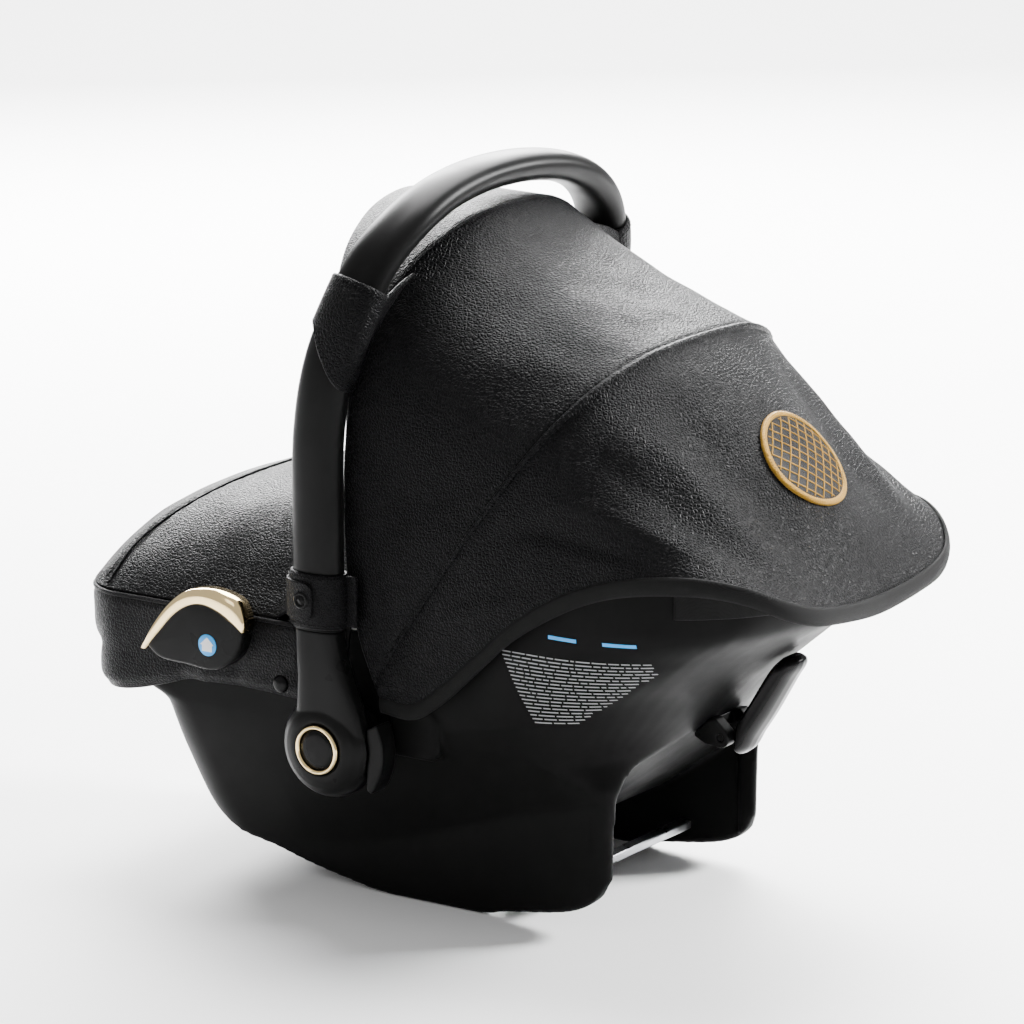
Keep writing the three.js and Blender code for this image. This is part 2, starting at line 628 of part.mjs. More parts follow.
// ---- canopy ------------------------------------------------------------------------------
// Each edge is given on the right half from its low corner to the middle, then mirrored.
const FRONT_EDGE = [[185, -22, 192], [187, -39, 237], [186, -50, 285], [185.5, -54, 334],
  [184, -54, 391], [179, -51, 445], [166, -45, 485], [140, -37, 519], [110, -30, 541],
  [80, -24, 555], [46, -19, 564], [0, -16, 567]];
const MIDDLE_ANGLE = THREE.MathUtils.degToRad(55.5);
const MIDDLE_PROFILE = [[186, 74], [189, 142], [189, 211], [185, 251], [178, 296], [163, 337],
  [130, 374], [80, 396], [40, 401], [0, 402]];
const MIDDLE_EDGE = MIDDLE_PROFILE.map(([x, r]) => [x,
  PIVOT.y + r * Math.cos(MIDDLE_ANGLE), PIVOT.z + r * Math.sin(MIDDLE_ANGLE)]);
const HEM_EDGE = [[185, -20, 189], [187, 12, 188], [188, 36, 203], [188, 75, 238], [187, 113, 272],
  [184, 151, 296], [181, 188, 311], [177, 231, 321], [167, 269, 323], [148, 300, 316],
  [126, 320, 304], [100, 330, 295], [60, 333, 288], [0, 332, 284]];
const VISOR_EDGE = [[172, -50, 476], [160, -74, 492], [145, -91, 508], [125, -101, 523],
  [95, -113, 541], [60, -122, 555], [30, -126, 563], [0, -127, 566]];

function wholeEdge(half) {
  return smoothCurve([...half, ...half.slice(0, -1).reverse().map(([x, y, z]) => [-x, y, z])]);
}

const EDGES = {
  front: wholeEdge(FRONT_EDGE),
  middle: wholeEdge(MIDDLE_EDGE),
  hem: wholeEdge(HEM_EDGE),
  visor: wholeEdge(VISOR_EDGE),
};

// Grid stretched from one edge to another and swollen outward by `bulge` over its middle. The
// edges are used over the stretches `fromSpan` and `toSpan` of their length.
function panelGrid({ from, to, rows, columns, bulge, rowRange = [0.03, 0.965], toSpan = [0, 1] }) {
  return Array.from({ length: rows + 1 }, (_, r) => {
    const t = THREE.MathUtils.lerp(rowRange[0], rowRange[1], r / rows);
    return Array.from({ length: columns + 1 }, (_, c) => {
      const s = c / columns;
      const p = from.getPointAt(s).lerp(to.getPointAt(THREE.MathUtils.lerp(toSpan[0], toSpan[1], s)), t);
      const crown = Math.sin(Math.PI * s);
      const outward = vec(Math.sign(p.x) * (1 - crown), (p.y - PIVOT.y) * 0.0025 * crown, crown);
      return p.addScaledVector(outward.normalize(), bulge(crown) * Math.sin(Math.PI * t));
    });
  });
}

// Bulge that runs from one value at the sides to another at the middle of the seat.
const sideToMiddle = (atSide, atMiddle) => (crown) => THREE.MathUtils.lerp(atSide, atMiddle, crown ** 3);
// Behind the middle bow the panel is full only near the middle of the seat and slack beside it.
const rearBulge = (crown) => THREE.MathUtils.lerp(4 - 20 * crown ** 3, 17, crown ** 24);
const canopyPanel = (options) => sheet(panelGrid(options), CANOPY_THICKNESS);

add('canopy_front_panel', canopyPanel({
  from: EDGES.front, to: EDGES.middle, rows: 5, columns: 26, bulge: sideToMiddle(2, -8),
  rowRange: [0.002, 0.97],
}), FAUX_LEATHER());
add('canopy_rear_panel', canopyPanel({
  from: EDGES.middle, to: EDGES.hem, rows: 6, columns: 26, bulge: rearBulge,
  rowRange: [0.036, 0.985],
}), FAUX_LEATHER());
add('canopy_visor', canopyPanel({
  from: EDGES.visor, to: EDGES.front, rows: 3, columns: 16, bulge: sideToMiddle(1, 3),
  rowRange: [0, 0.93], toSpan: [0.3, 0.7],
}), FAUX_LEATHER());

// Round wire along an edge, set back under the fabric.
function bowWire(profile, angleAt) {
  const SECTION_SIDES = 6;
  const half = profile.map(([x, r]) => {
    return [x, PIVOT.y + r * Math.cos(angleAt), PIVOT.z + r * Math.sin(angleAt)];
  });
  const wire = new THREE.Shape();
  for (let i = 0; i < SECTION_SIDES; i++) {
    const angle = (2 * Math.PI * i) / SECTION_SIDES;
    const corner = [BOW_RADIUS * Math.cos(angle), BOW_RADIUS * Math.sin(angle)];
    if (i === 0) wire.moveTo(...corner);
    else wire.lineTo(...corner);
  }
  return new THREE.ExtrudeGeometry(wire, { steps: 28, bevelEnabled: false, extrudePath: wholeEdge(half) });
}

const FRONT_BOW_ANGLE = THREE.MathUtils.degToRad(83.8);
const FRONT_BOW = [[182.5, 72], [182.5, 108], [179, 132], [179, 215], [176, 280], [166, 320],
  [147, 352], [118, 379], [80, 398], [46, 408], [0, 411]];
const MIDDLE_BOW = [[182.5, 80], [182.5, 140], [182.5, 205], [177, 246], [169, 288], [153, 326],
  [122, 361], [80, 382], [40, 389], [0, 390]];
add('canopy_front_bow', bowWire(FRONT_BOW, FRONT_BOW_ANGLE), STEEL());
add('canopy_middle_bow', bowWire(MIDDLE_BOW, MIDDLE_ANGLE), STEEL());

// Woven binding that hangs from the hem edge.
function hemBinding() {
  const ROWS = [1.6, 13];
  const COLUMNS = 30;
  const grid = ROWS.map((drop) => Array.from({ length: COLUMNS + 1 }, (_, c) => {
    return EDGES.hem.getPointAt(c / COLUMNS).add(vec(0, 0, -drop));
  }));
  return sheet(grid, 3.5);
}
add('canopy_hem', hemBinding(), WEBBING());

// Embroidered round patch on the back of the canopy.
function badge() {
  const SLOPE = Math.atan2(0.745, 0.667);
  const patch = new THREE.CylinderGeometry(BADGE_RADIUS, BADGE_RADIUS, 3, 28);
  return patch.rotateX(Math.PI / 2).rotateX(-SLOPE).translate(0, 266.6, 393.1);
}
add('canopy_badge', badge(), GOLD_THREAD());

// ---- straps that tie the canopy to the handle --------------------------------------------
function ovalPath(halfX, halfY, centreX, centreY, shape) {
  shape.absellipse(centreX, centreY, halfX, halfY, 0, 2 * Math.PI, false);
  return shape;
}

function lowerStrap() {
  const outer = new THREE.Shape();
  ovalPath(TUBE_DEPTH / 2 + 4, TUBE_WIDTH / 2 + 4, ARM_X, -72, outer);
  const band = toManifold(upright(outer, 246, 292, 7));
  const inner = new THREE.Shape();
  ovalPath(TUBE_DEPTH / 2 + 0.8, TUBE_WIDTH / 2 + 0.8, ARM_X, -72, inner);
  const hole = toManifold(upright(inner, 200, 340, 7));
  const tail = toManifold(box(195.6, 199, -55, -36, 248, 290));
  return unite(band, tail).subtract(hole);
}

function upperStrap() {
  const FROM = 0.205;
  const TO = 0.288;
  const STEPS = 4;
  const steps = Array.from({ length: STEPS + 1 }, (_, i) => THREE.MathUtils.lerp(FROM, TO, i / STEPS));
  return sleeve(steps.map((t) => handleRing(t, 3.6)), steps.map((t) => handleRing(t, 0.8)));
}

for (const [name, side] of SIDES) {
  add(`canopy_lower_strap_${name}`, onSide(toGeometry(lowerStrap()), side), FAUX_LEATHER());
  add(`canopy_upper_strap_${name}`, onSide(upperStrap(), side), FAUX_LEATHER());
  const snap = latheX([[0, 217.9], [7, 217.9], [7, 219], [5, 221], [0, 221.6]], -76, 270, 14);
  add(`canopy_strap_snap_${name}`, onSide(snap, side), GLOSS_PLASTIC());
}

// ---- rear release lever and crossbar -----------------------------------------------------
const LEVER_PIVOT = { y: 200, z: 153 };
const LEVER_HALF_WIDTH = 21;
const KNUCKLE_HALF_WIDTH = 12;
const LEVER_PIN_RADIUS = 3;
const EAR_RADIUS = 8.5;

function leverPaddle() {
  const outline = [[209.5, 150], [210.5, 165], [222.5, 183], [232.5, 200], [243, 217],
    [250, 225], [257, 224], [258, 220], [250, 208], [240, 191], [230, 174], [218, 156],
    [213, 145], [209.5, 142]];
  const paddle = toManifold(acrossSeat(outline, -LEVER_HALF_WIDTH, LEVER_HALF_WIDTH));
  const { y, z } = LEVER_PIVOT;
  const knuckle = toManifold(axial(8, -KNUCKLE_HALF_WIDTH, KNUCKLE_HALF_WIDTH, y, z, 16));
  const neck = toManifold(acrossSeat([[y, 147], [210, 147], [210, 158], [y, 158]],
    -KNUCKLE_HALF_WIDTH, KNUCKLE_HALF_WIDTH));
  const bore = toManifold(axial(LEVER_PIN_RADIUS + GAP, -40, 40, y, z, 12));
  return unite(paddle, knuckle, neck).subtract(bore);
}

// Bracket under the shell: two round-ended ears either side of the lever's knuckle.
function leverBracket() {
  const { y, z } = LEVER_PIVOT;
  const ear = [[176, 151], [176, 154], [190, 167.4], [196, 168.3], [205, 160], [205, 148],
    [196, 145.4], [186, 146]];
  const web = [[176, 151], [176, 154], [188, 165.4], [190, 160], [188, 150], [184, 147.5]];
  const ears = [[-25, -13], [13, 25]].map(([from, to]) => {
    const boss = toManifold(axial(EAR_RADIUS, from, to, y, z, 18));
    return unite(toManifold(acrossSeat(ear, from, to)), boss);
  });
  const bore = toManifold(axial(LEVER_PIN_RADIUS, -40, 40, y, z, 12));
  return unite(...ears, toManifold(acrossSeat(web, -14, 14))).subtract(bore);
}

add('release_lever', leverPaddle(), GLOSS_PLASTIC());
add('lever_bracket', leverBracket(), SATIN_PLASTIC());
add('lever_pin', axial(LEVER_PIN_RADIUS - 0.1, -24, 24, LEVER_PIVOT.y, LEVER_PIVOT.z, 12), STEEL());

const crossbarEnd = BASE_HALF_WIDTH - ROCKER_THICKNESS - GAP;
add('crossbar', box(-crossbarEnd, crossbarEnd, 77, 89, 23.5, 30.5), STEEL());

// ---- harness and padding, in the backrest's own frame ------------------------------------
function place(name, geometry, material, x, y, z) {
  const mesh = add(name, geometry, material, backrest);
  mesh.position.set(x, y, z);
  return mesh;
}

const INSERT_THICKNESS = 20;
place('insert_cushion', pad(196, 232, INSERT_THICKNESS, 40), KNIT(), 0, 158, INSERT_THICKNESS / 2 + 2);

function headPad() {
  const outline = new THREE.Shape();
  outline.moveTo(-112, 0);
  outline.lineTo(112, 0);
  outline.quadraticCurveTo(122, 30, 112, 52);
  outline.quadraticCurveTo(96, 60, 84, 44);
  outline.quadraticCurveTo(74, 20, 50, 15);
  outline.lineTo(-50, 15);
  outline.quadraticCurveTo(-74, 20, -84, 44);
  outline.quadraticCurveTo(-96, 60, -112, 52);
  outline.quadraticCurveTo(-122, 30, -112, 0);
  const wrap = new THREE.ExtrudeGeometry(outline, { depth: 96, bevelEnabled: false, curveSegments: 5 });
  return wrap.rotateX(Math.PI / 2);
}
place('head_pad', headPad(), KNIT(), 0, 296, INSERT_THICKNESS + 4);

const STRAP_LIFT = INSERT_THICKNESS + 5;
for (const [name, side] of SIDES) {
  const strap = box(-STRAP_WIDTH / 2 + 5, STRAP_WIDTH / 2 - 5, 56, 196, 0, 2);
  place(`shoulder_strap_${name}`, strap, WEBBING(), side * 36, 0, STRAP_LIFT);
  place(`shoulder_pad_${name}`, pad(52, 112, 10, 14), KNIT(), side * 36, 126, STRAP_LIFT + 8);
  const tongue = box(-9, 9, 38.5, 55.5, 0, 2.5);
  place(`buckle_tongue_${name}`, tongue, STEEL(), side * 28, 0, STRAP_LIFT);
}

// Buckle and crotch strap, in a flatter frame that starts at the buckle's mouth.
const crotch = new THREE.Group();
crotch.position.set(0, -38.5, 110);
crotch.rotation.x = THREE.MathUtils.degToRad(14);
seat.add(crotch);
const buckle = cut(toManifold(box(-38, 38, -46, 0, -14, 0)), toManifold(box(-11, 11, -34, -10, -6, 20)));
add('buckle_housing', buckle, GLOSS_PLASTIC(), crotch);
add('buckle_button', box(-10.5, 10.5, -33.5, -10.5, -1.5, 3.5), RED_PLASTIC(), crotch);
add('crotch_strap', box(-14, 14, -66, -46.4, -8, -6), WEBBING(), crotch);
add('crotch_pad', pad(60, 50, 5, 16).translate(0, -84, 77), KNIT());

// Harness adjuster at the front edge of the seat: housing, push button and pull strap.
const ADJUSTER_Y = [-180, -148];
function adjusterHousing() {
  const body = toManifold(box(-17, 17, ...ADJUSTER_Y, 89, 99));
  return cut(body, toManifold(box(-10, 10, -172, -156, 92, 110)));
}
function adjusterStrap() {
  return acrossSeat([[-180.5, 96], [-196, 103], [-232, 129], [-233.2, 127.4], [-197, 101],
    [-180.5, 94]], -12, 12);
}
add('adjuster_housing', adjusterHousing(), SATIN_PLASTIC());
add('adjuster_button', box(-9.5, 9.5, -171.5, -156.5, 96.5, 102.5), RED_PLASTIC());
add('adjuster_strap', adjusterStrap(), WEBBING());

export default carSeat;
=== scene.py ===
"""Infant car seat: the looks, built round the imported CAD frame. Tables are in millimetres."""
import json
import math

import bmesh
import bpy
import numpy as np
from mathutils import Matrix, Vector, noise
from mathutils.bvhtree import BVHTree


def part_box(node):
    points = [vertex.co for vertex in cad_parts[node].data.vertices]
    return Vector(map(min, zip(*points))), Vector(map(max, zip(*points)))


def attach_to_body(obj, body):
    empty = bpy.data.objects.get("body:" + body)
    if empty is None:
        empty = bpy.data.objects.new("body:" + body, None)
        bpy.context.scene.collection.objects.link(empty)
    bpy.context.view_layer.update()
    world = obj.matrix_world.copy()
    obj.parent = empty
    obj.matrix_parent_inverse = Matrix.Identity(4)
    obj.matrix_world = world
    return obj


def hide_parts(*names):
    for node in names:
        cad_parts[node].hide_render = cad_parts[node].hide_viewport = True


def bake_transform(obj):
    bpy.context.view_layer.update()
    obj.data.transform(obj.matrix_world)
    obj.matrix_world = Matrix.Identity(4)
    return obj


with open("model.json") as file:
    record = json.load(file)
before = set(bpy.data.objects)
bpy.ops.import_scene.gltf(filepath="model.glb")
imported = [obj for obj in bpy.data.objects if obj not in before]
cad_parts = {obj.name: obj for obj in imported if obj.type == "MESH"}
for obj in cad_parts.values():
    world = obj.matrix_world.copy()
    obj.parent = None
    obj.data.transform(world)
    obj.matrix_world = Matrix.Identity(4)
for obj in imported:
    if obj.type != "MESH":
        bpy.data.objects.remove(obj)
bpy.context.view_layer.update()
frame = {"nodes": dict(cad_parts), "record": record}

TILT = next(j for j in frame["record"]["behaviour"]["joints"] if j["name"] == "handle_tilt")
PIVOT = (-66.0, 145.0)
SHIFT = TILT["pos_m"][1] * 1000 - PIVOT[0]
EDGE_ROUNDING = 0.45                # how far a cloth's edge bulges, as a share of its thickness


# ---- general helpers ---------------------------------------------------------------------
def place(points):
    """Millimetres in the seat's own frame to metres in the row frame."""
    return (np.asarray(points, float) + (0, SHIFT, 0)) / 1000


def at(x, y, z):
    return Vector(place((x, y, z)))


def turn(steps):
    """Angles of a full turn, the last one left out."""
    return np.linspace(0, 2 * math.pi, steps, endpoint=False)


def unit(vectors):
    return vectors / (np.linalg.norm(vectors, axis=-1, keepdims=True) + 1e-9)


def grid_normals(grid):
    return unit(np.cross(np.gradient(grid, axis=1), np.gradient(grid, axis=0)))


def skin(count, n, closed=False, base=0):
    """Quads between successive rings of n points."""
    faces = []
    for r in range(count if closed else count - 1):
        a, b = base + r * n, base + (r + 1) % count * n
        faces += [(a + i, a + (i + 1) % n, b + (i + 1) % n, b + i) for i in range(n)]
    return faces


def raw_mesh(name, points, faces):
    """Mesh from points in metres."""
    mesh = bpy.data.meshes.new(name)
    mesh.from_pydata(np.array(points, float).tolist(), [], faces)
    return mesh


def paint(mesh, material):
    mesh.materials.clear()
    mesh.materials.append(material)


def new_object(name, mesh, material, smooth=True):
    ob = bpy.data.objects.new(name, mesh)
    bpy.context.collection.objects.link(ob)
    if material:
        paint(mesh, material)
    if smooth:
        mesh.polygons.foreach_set("use_smooth", [True] * len(mesh.polygons))
    return ob


def make(name, points, faces, material, smooth=True):
    mesh = raw_mesh(name, place(points), faces)
    mesh.validate()
    bm = bmesh.new()
    bm.from_mesh(mesh)
    bmesh.ops.remove_doubles(bm, verts=bm.verts, dist=1e-6)
    bmesh.ops.recalc_face_normals(bm, faces=bm.faces)
    bm.to_mesh(mesh)
    bm.free()
    return new_object(name, mesh, material, smooth)


def bake(ob):
    """Applies the modifiers of an object to its mesh."""
    graph = bpy.context.evaluated_depsgraph_get()
    graph.update()
    mesh = bpy.data.meshes.new_from_object(ob.evaluated_get(graph))
    ob.modifiers.clear()
    ob.data = mesh
    mesh.polygons.foreach_set("use_smooth", [True] * len(mesh.polygons))
    return ob


def remesh(ob, voxel, rounds):
    m = ob.modifiers.new("voxels", "REMESH")
    m.mode, m.voxel_size, m.adaptivity = "VOXEL", voxel / 1000, 0
    s = ob.modifiers.new("soften", "SMOOTH")
    s.iterations, s.factor = rounds, 0.5
    return bake(ob)


def bevel(ob, width, segments):
    m = ob.modifiers.new("round", "BEVEL")
    m.width, m.segments = width / 1000, segments
    return bake(ob)


def flat_shaded(ob):
    ob.data.polygons.foreach_set("use_smooth", [False] * len(ob.data.polygons))


def boolean(ob, other, operation):
    m = ob.modifiers.new("cut", "BOOLEAN")
    m.operation, m.object, m.solver = operation, other, "MANIFOLD"
    bake(ob)
    bpy.data.objects.remove(other)
    return ob


def join(name, obs, material):
    bm = bmesh.new()
    for ob in obs:
        bm.from_mesh(ob.data)
    mesh = bpy.data.meshes.new(name)
    bm.to_mesh(mesh)
    bm.free()
    for ob in obs:
        bpy.data.objects.remove(ob)
    return new_object(name, mesh, material)


def node_copy(node, name, material):
    """Own object with the shape of a CAD node, its split corners joined again."""
    source = frame["nodes"][node]
    mesh = source.data.copy()
    mesh.transform(source.matrix_world)
    bm = bmesh.new()
    bm.from_mesh(mesh)
    bmesh.ops.remove_doubles(bm, verts=bm.verts, dist=2e-6)
    bm.to_mesh(mesh)
    bm.free()
    return new_object(name, mesh, material)


def mirror_copy(ob, name):
    mesh = ob.data.copy()
    mesh.transform(Matrix.Scale(-1, 4, (1, 0, 0)))
    mesh.flip_normals()
    return new_object(name, mesh, None)


def attach(ob, body, slot, *nodes):
    """Ties a piece to its body and hides the CAD nodes that it stands for; the slot is not used."""
    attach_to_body(ob, body)
    if nodes:
        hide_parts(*nodes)
    return ob


def both_sides(build, name, body, nodes, slot):
    """Builds a piece for the right side, mirrors it, and ties both to their body and nodes."""
    right = build(f"{name}_right_look")
    left = mirror_copy(right, f"{name}_left_look")
    for ob, side in ((left, "left"), (right, "right")):
        attach(ob, body.format(side), slot, *[f"{n}_{side}" for n in nodes])


def centripetal(points, per=20):
    """Centripetal Catmull-Rom curve through the points."""
    p = np.asarray(points, float)
    p = np.vstack([2 * p[0] - p[1], p, 2 * p[-1] - p[-2]])
    out = []
    for a, b, c, d in zip(p, p[1:], p[2:], p[3:]):
        t1 = np.linalg.norm(b - a) ** 0.5
        t2 = t1 + np.linalg.norm(c - b) ** 0.5
        t3 = t2 + np.linalg.norm(d - c) ** 0.5
        t = np.linspace(t1, t2, per, endpoint=False)[:, None]
        q1 = (t1 - t) / t1 * a + t / t1 * b
        q2 = (t2 - t) / (t2 - t1) * b + (t - t1) / (t2 - t1) * c
        q3 = (t3 - t) / (t3 - t2) * c + (t - t2) / (t3 - t2) * d
        r1 = (t2 - t) / t2 * q1 + t / t2 * q2
        r2 = (t3 - t) / (t3 - t1) * q2 + (t - t1) / (t3 - t1) * q3
        out.append((t2 - t) / (t2 - t1) * r1 + (t - t1) / (t2 - t1) * r2)
    return np.vstack([*out, p[-2:-1]])


def along(path, s):
    """Points at the fractions s of a path's length."""
    steps = np.r_[0, np.cumsum(np.linalg.norm(np.diff(path, axis=0), axis=1))]
    s = np.atleast_1d(s) * steps[-1]
    return np.stack([np.interp(s, steps, path[:, k]) for k in range(path.shape[1])], 1)


def whole(half):
    half = [tuple(p) for p in half]
    return centripetal(half + [(-x, y, z) for x, y, z in half[-2::-1]])


def pchip(table):
    """Smooth look-up through a table of (position, value) rows, without overshoot."""
    x, y = np.array(table, float).T
    h, d = np.diff(x), np.diff(y) / np.diff(x)
    m = np.zeros_like(y)
    for i in range(1, len(x) - 1):
        if d[i - 1] * d[i] > 0:
            w1, w2 = 2 * h[i] + h[i - 1], h[i] + 2 * h[i - 1]
            m[i] = (w1 + w2) / (w1 / d[i - 1] + w2 / d[i])
    m[0], m[-1] = d[0], d[-1]

    def value(t):
        t = np.clip(np.asarray(t, float), x[0], x[-1])
        i = np.clip(np.searchsorted(x, t, side="right") - 1, 0, len(h) - 1)
        u = (t - x[i]) / h[i]
        return ((1 + 2 * u) * (1 - u) ** 2 * y[i] + u * (1 - u) ** 2 * h[i] * m[i]
                + u * u * (3 - 2 * u) * y[i + 1] + u * u * (u - 1) * h[i] * m[i + 1])
    return value


def smoothstep(t):
    t = np.clip(t, 0, 1)
    return t * t * (3 - 2 * t)


def loft(name, rings, material, closed=False, smooth=True):
    """Skin through equal rings; its ends are capped unless it closes on itself."""
    n, count = len(rings[0]), len(rings)
    points = np.vstack(rings)
    faces = skin(count, n, closed)
    if not closed:
        for start in (0, (count - 1) * n):
            points = np.vstack([points, points[start:start + n].mean(0)])
            faces += [(start + i, start + (i + 1) % n, len(points) - 1) for i in range(n)]
    return make(name, points, faces, material, smooth)


def prism_x(name, outline, x0, x1):
    ring = np.array(outline, float)
    return loft(name, [np.c_[np.full(len(ring), x), ring] for x in (x0, x1)], None, smooth=False)


def lathe_x(name, profile, material, y=PIVOT[0], z=PIVOT[1], steps=96):
    """Body turned about an X axis from (radius, x) rows, closed at both ends."""
    a = turn(steps)
    rings = [np.c_[np.full(steps, x), y + max(r, 0.01) * np.cos(a), z + max(r, 0.01) * np.sin(a)]
             for r, x in profile]
    return loft(name, rings, material)


def tube(name, path, radius, material, steps=12, up=(0, 0, 1)):
    """Round tube along a path, its section kept upright by the `up` direction."""
    path = np.asarray(path, float)
    tangent = unit(np.gradient(path, axis=0))
    side = unit(np.cross(tangent, up))
    top = np.cross(side, tangent)
    a = turn(steps)
    rings = [p + radius * (np.outer(np.cos(a), s) + np.outer(np.sin(a), t))
             for p, s, t in zip(path, side, top)]
    return loft(name, rings, material)


def sheet_mesh(name, grid, thickness, material):
    """Closed thin cloth from a grid of points (rows, columns, 3) on its outer face."""
    g = np.asarray(grid, float)
    rows, cols = g.shape[:2]
    normal = grid_normals(g)
    mid = g - normal * thickness * 0.5
    top, bottom = g.reshape(-1, 3), (g - normal * thickness).reshape(-1, 3)
    ring = ([(0, c) for c in range(cols)] + [(r, cols - 1) for r in range(1, rows)]
            + [(rows - 1, c) for c in range(cols - 2, -1, -1)] + [(r, 0) for r in range(rows - 2, 0, -1)])
    edge = np.array([mid[r, c] for r, c in ring])
    inward = np.array([g[min(max(r, 1), rows - 2), min(max(c, 1), cols - 2)] - g[r, c] for r, c in ring])
    edge = edge - unit(inward) * thickness * EDGE_ROUNDING
    points = np.vstack([top, bottom, edge])
    n = rows * cols
    at_ = lambda r, c: r * cols + c
    faces = []
    for r in range(rows - 1):
        for c in range(cols - 1):
            q = (at_(r, c), at_(r, c + 1), at_(r + 1, c + 1), at_(r + 1, c))
            faces += [q, tuple(n + i for i in q[::-1])]
    for i, (r, c) in enumerate(ring):
        j = (i + 1) % len(ring)
        a, b = at_(r, c), at_(*ring[j])
        faces += [(a, b, 2 * n + j, 2 * n + i), (2 * n + i, 2 * n + j, n + b, n + a)]
    return make(name, points, faces, material)


def ripple(points, scale, seed=0.0):
    """Smooth noise in -1..1 at each point (mm), at a scale in mm."""
    return np.array([noise.noise(Vector(p) / scale + Vector((seed, seed * 1.7, seed * 0.6)))
                     for p in np.asarray(points).reshape(-1, 3)])


# ---- materials ---------------------------------------------------------------------------
class Finish:
    """A Principled material with helpers for its procedural inputs."""

    def __init__(self, name, colour, roughness, metallic=0.0, **sockets):
        self.material = bpy.data.materials.new(name)
        self.material.use_nodes = True
        self.tree = self.material.node_tree
        self.bsdf = self.tree.nodes["Principled BSDF"]
        self.bsdf.inputs["Base Color"].default_value = (*colour, 1)
        self.bsdf.inputs["Roughness"].default_value = roughness
        self.bsdf.inputs["Metallic"].default_value = metallic
        for key, value in sockets.items():
            self.bsdf.inputs[key.replace("_", " ")].default_value = value
        self.coords = self.node("ShaderNodeTexCoord").outputs["Object"]

    def node(self, kind, **settings):
        n = self.tree.nodes.new(kind)
        for key, value in settings.items():
            setattr(n, key, value)
        return n

    def link(self, a, b):
        self.tree.links.new(a, b)

    def texture(self, kind, scale, **settings):
        n = self.node(kind, **settings)
        n.inputs["Scale"].default_value = scale
        self.link(self.coords, n.inputs["Vector"])
        return n

    def noise(self, scale, detail):
        n = self.texture("ShaderNodeTexNoise", scale)
        n.inputs["Detail"].default_value = detail
        return n.outputs["Fac"]

    def cells(self, scale):
        return self.texture("ShaderNodeTexVoronoi", scale, feature="DISTANCE_TO_EDGE").outputs["Distance"]

    def waves(self, scale, direction):
        return self.texture("ShaderNodeTexWave", scale, bands_direction=direction).outputs["Fac"]

    def remap(self, value, low, high, to_low, to_high, smooth=False):
        n = self.node("ShaderNodeMapRange", interpolation_type="SMOOTHSTEP" if smooth else "LINEAR")
        for key, number in zip(("From Min", "From Max", "To Min", "To Max"), (low, high, to_low, to_high)):
            n.inputs[key].default_value = number
        self.link(value, n.inputs["Value"])
        return n.outputs["Result"]

    def maths(self, operation, a, b):
        n = self.node("ShaderNodeMath", operation=operation)
        for socket, value in zip(n.inputs, (a, b)):
            if isinstance(value, (int, float)):
                socket.default_value = value
            else:
                self.link(value, socket)
        return n.outputs[0]

    def bump(self, height, distance, strength):
        n = self.node("ShaderNodeBump")
        n.inputs["Distance"].default_value = distance
        n.inputs["Strength"].default_value = strength
        self.link(height, n.inputs["Height"])
        self.link(n.outputs["Normal"], self.bsdf.inputs["Normal"])

    def roughness(self, value):
        self.link(value, self.bsdf.inputs["Roughness"])

    def two_colours(self, value, dark, light):
        n = self.node("ShaderNodeMix", data_type="RGBA")
        for socket, colour in zip([s for s in n.inputs if s.type == "RGBA"], (dark, light)):
            socket.default_value = (*colour, 1)
        self.link(value, n.inputs["Factor"])
        self.link(next(s for s in n.outputs if s.type == "RGBA"), self.bsdf.inputs["Base Color"])


def leather_finish(name="pebbled faux leather", pebble=330, depth=0.0008):
    f = Finish(name, (0.003, 0.003, 0.0034), 0.40, Specular_IOR_Level=0.06)
    warp = f.noise(90, 2)
    cells = f.remap(f.cells(pebble), 0.0, 0.28, 0, 1, True)
    fine = f.remap(f.cells(pebble * 2.3), 0.0, 0.3, 0, 1, True)
    height = f.maths("ADD", f.maths("MULTIPLY", cells, f.remap(warp, 0.3, 0.7, 0.7, 1.0)),
                     f.maths("MULTIPLY", fine, 0.22))
    f.bump(height, depth, 0.85)
    gloss = f.maths("ADD", f.maths("MULTIPLY", cells, -0.5), f.noise(14, 3))
    f.roughness(f.remap(gloss, 0, 0.7, 0.33, 0.5))
    f.two_colours(f.noise(9, 4), (0.0016, 0.0016, 0.0018), (0.0038, 0.0038, 0.0042))
    return f.material


def moulded_finish(name, shade, rough, grain=2200, depth=0.00006, shine=0.03, plain=None):
    """Grained plastic in mottled black, or in one plain colour."""
    f = Finish(name, plain or (shade,) * 3, rough, Specular_IOR_Level=shine)
    f.bump(f.noise(grain, 2), depth, 0.7)
    f.roughness(f.remap(f.noise(22, 4), 0.3, 0.7, rough - 0.05, rough + 0.07))
    if not plain:
        f.two_colours(f.noise(35, 5), (shade * 0.8,) * 3, (shade * 1.25,) * 3)
    return f.material


def knit_finish(name="fine knit", scale=520):
    f = Finish(name, (0.012, 0.012, 0.013), 0.9, Sheen_Weight=0.08, Specular_IOR_Level=0.2)
    ribs = f.maths("MULTIPLY", f.waves(scale, "X"), f.waves(scale * 0.8, "DIAGONAL"))
    f.bump(f.maths("ADD", ribs, f.noise(900, 2)), 0.0004, 0.8)
    f.roughness(f.remap(ribs, 0, 1, 0.82, 0.97))
    f.two_colours(ribs, (0.006, 0.006, 0.0065), (0.017, 0.017, 0.018))
    return f.material


def webbing_finish(name="woven webbing", shade=0.006, scale=420):
    f = Finish(name, (shade,) * 3, 0.75, Specular_IOR_Level=0.12)
    weave = f.maths("MULTIPLY", f.waves(scale, "DIAGONAL"), f.waves(scale * 1.15, "Z"))
    f.bump(weave, 0.0005, 0.9)
    f.roughness(f.remap(weave, 0, 1, 0.66, 0.88))
    f.two_colours(weave, (shade * 0.6,) * 3, (shade * 2,) * 3)
    return f.material


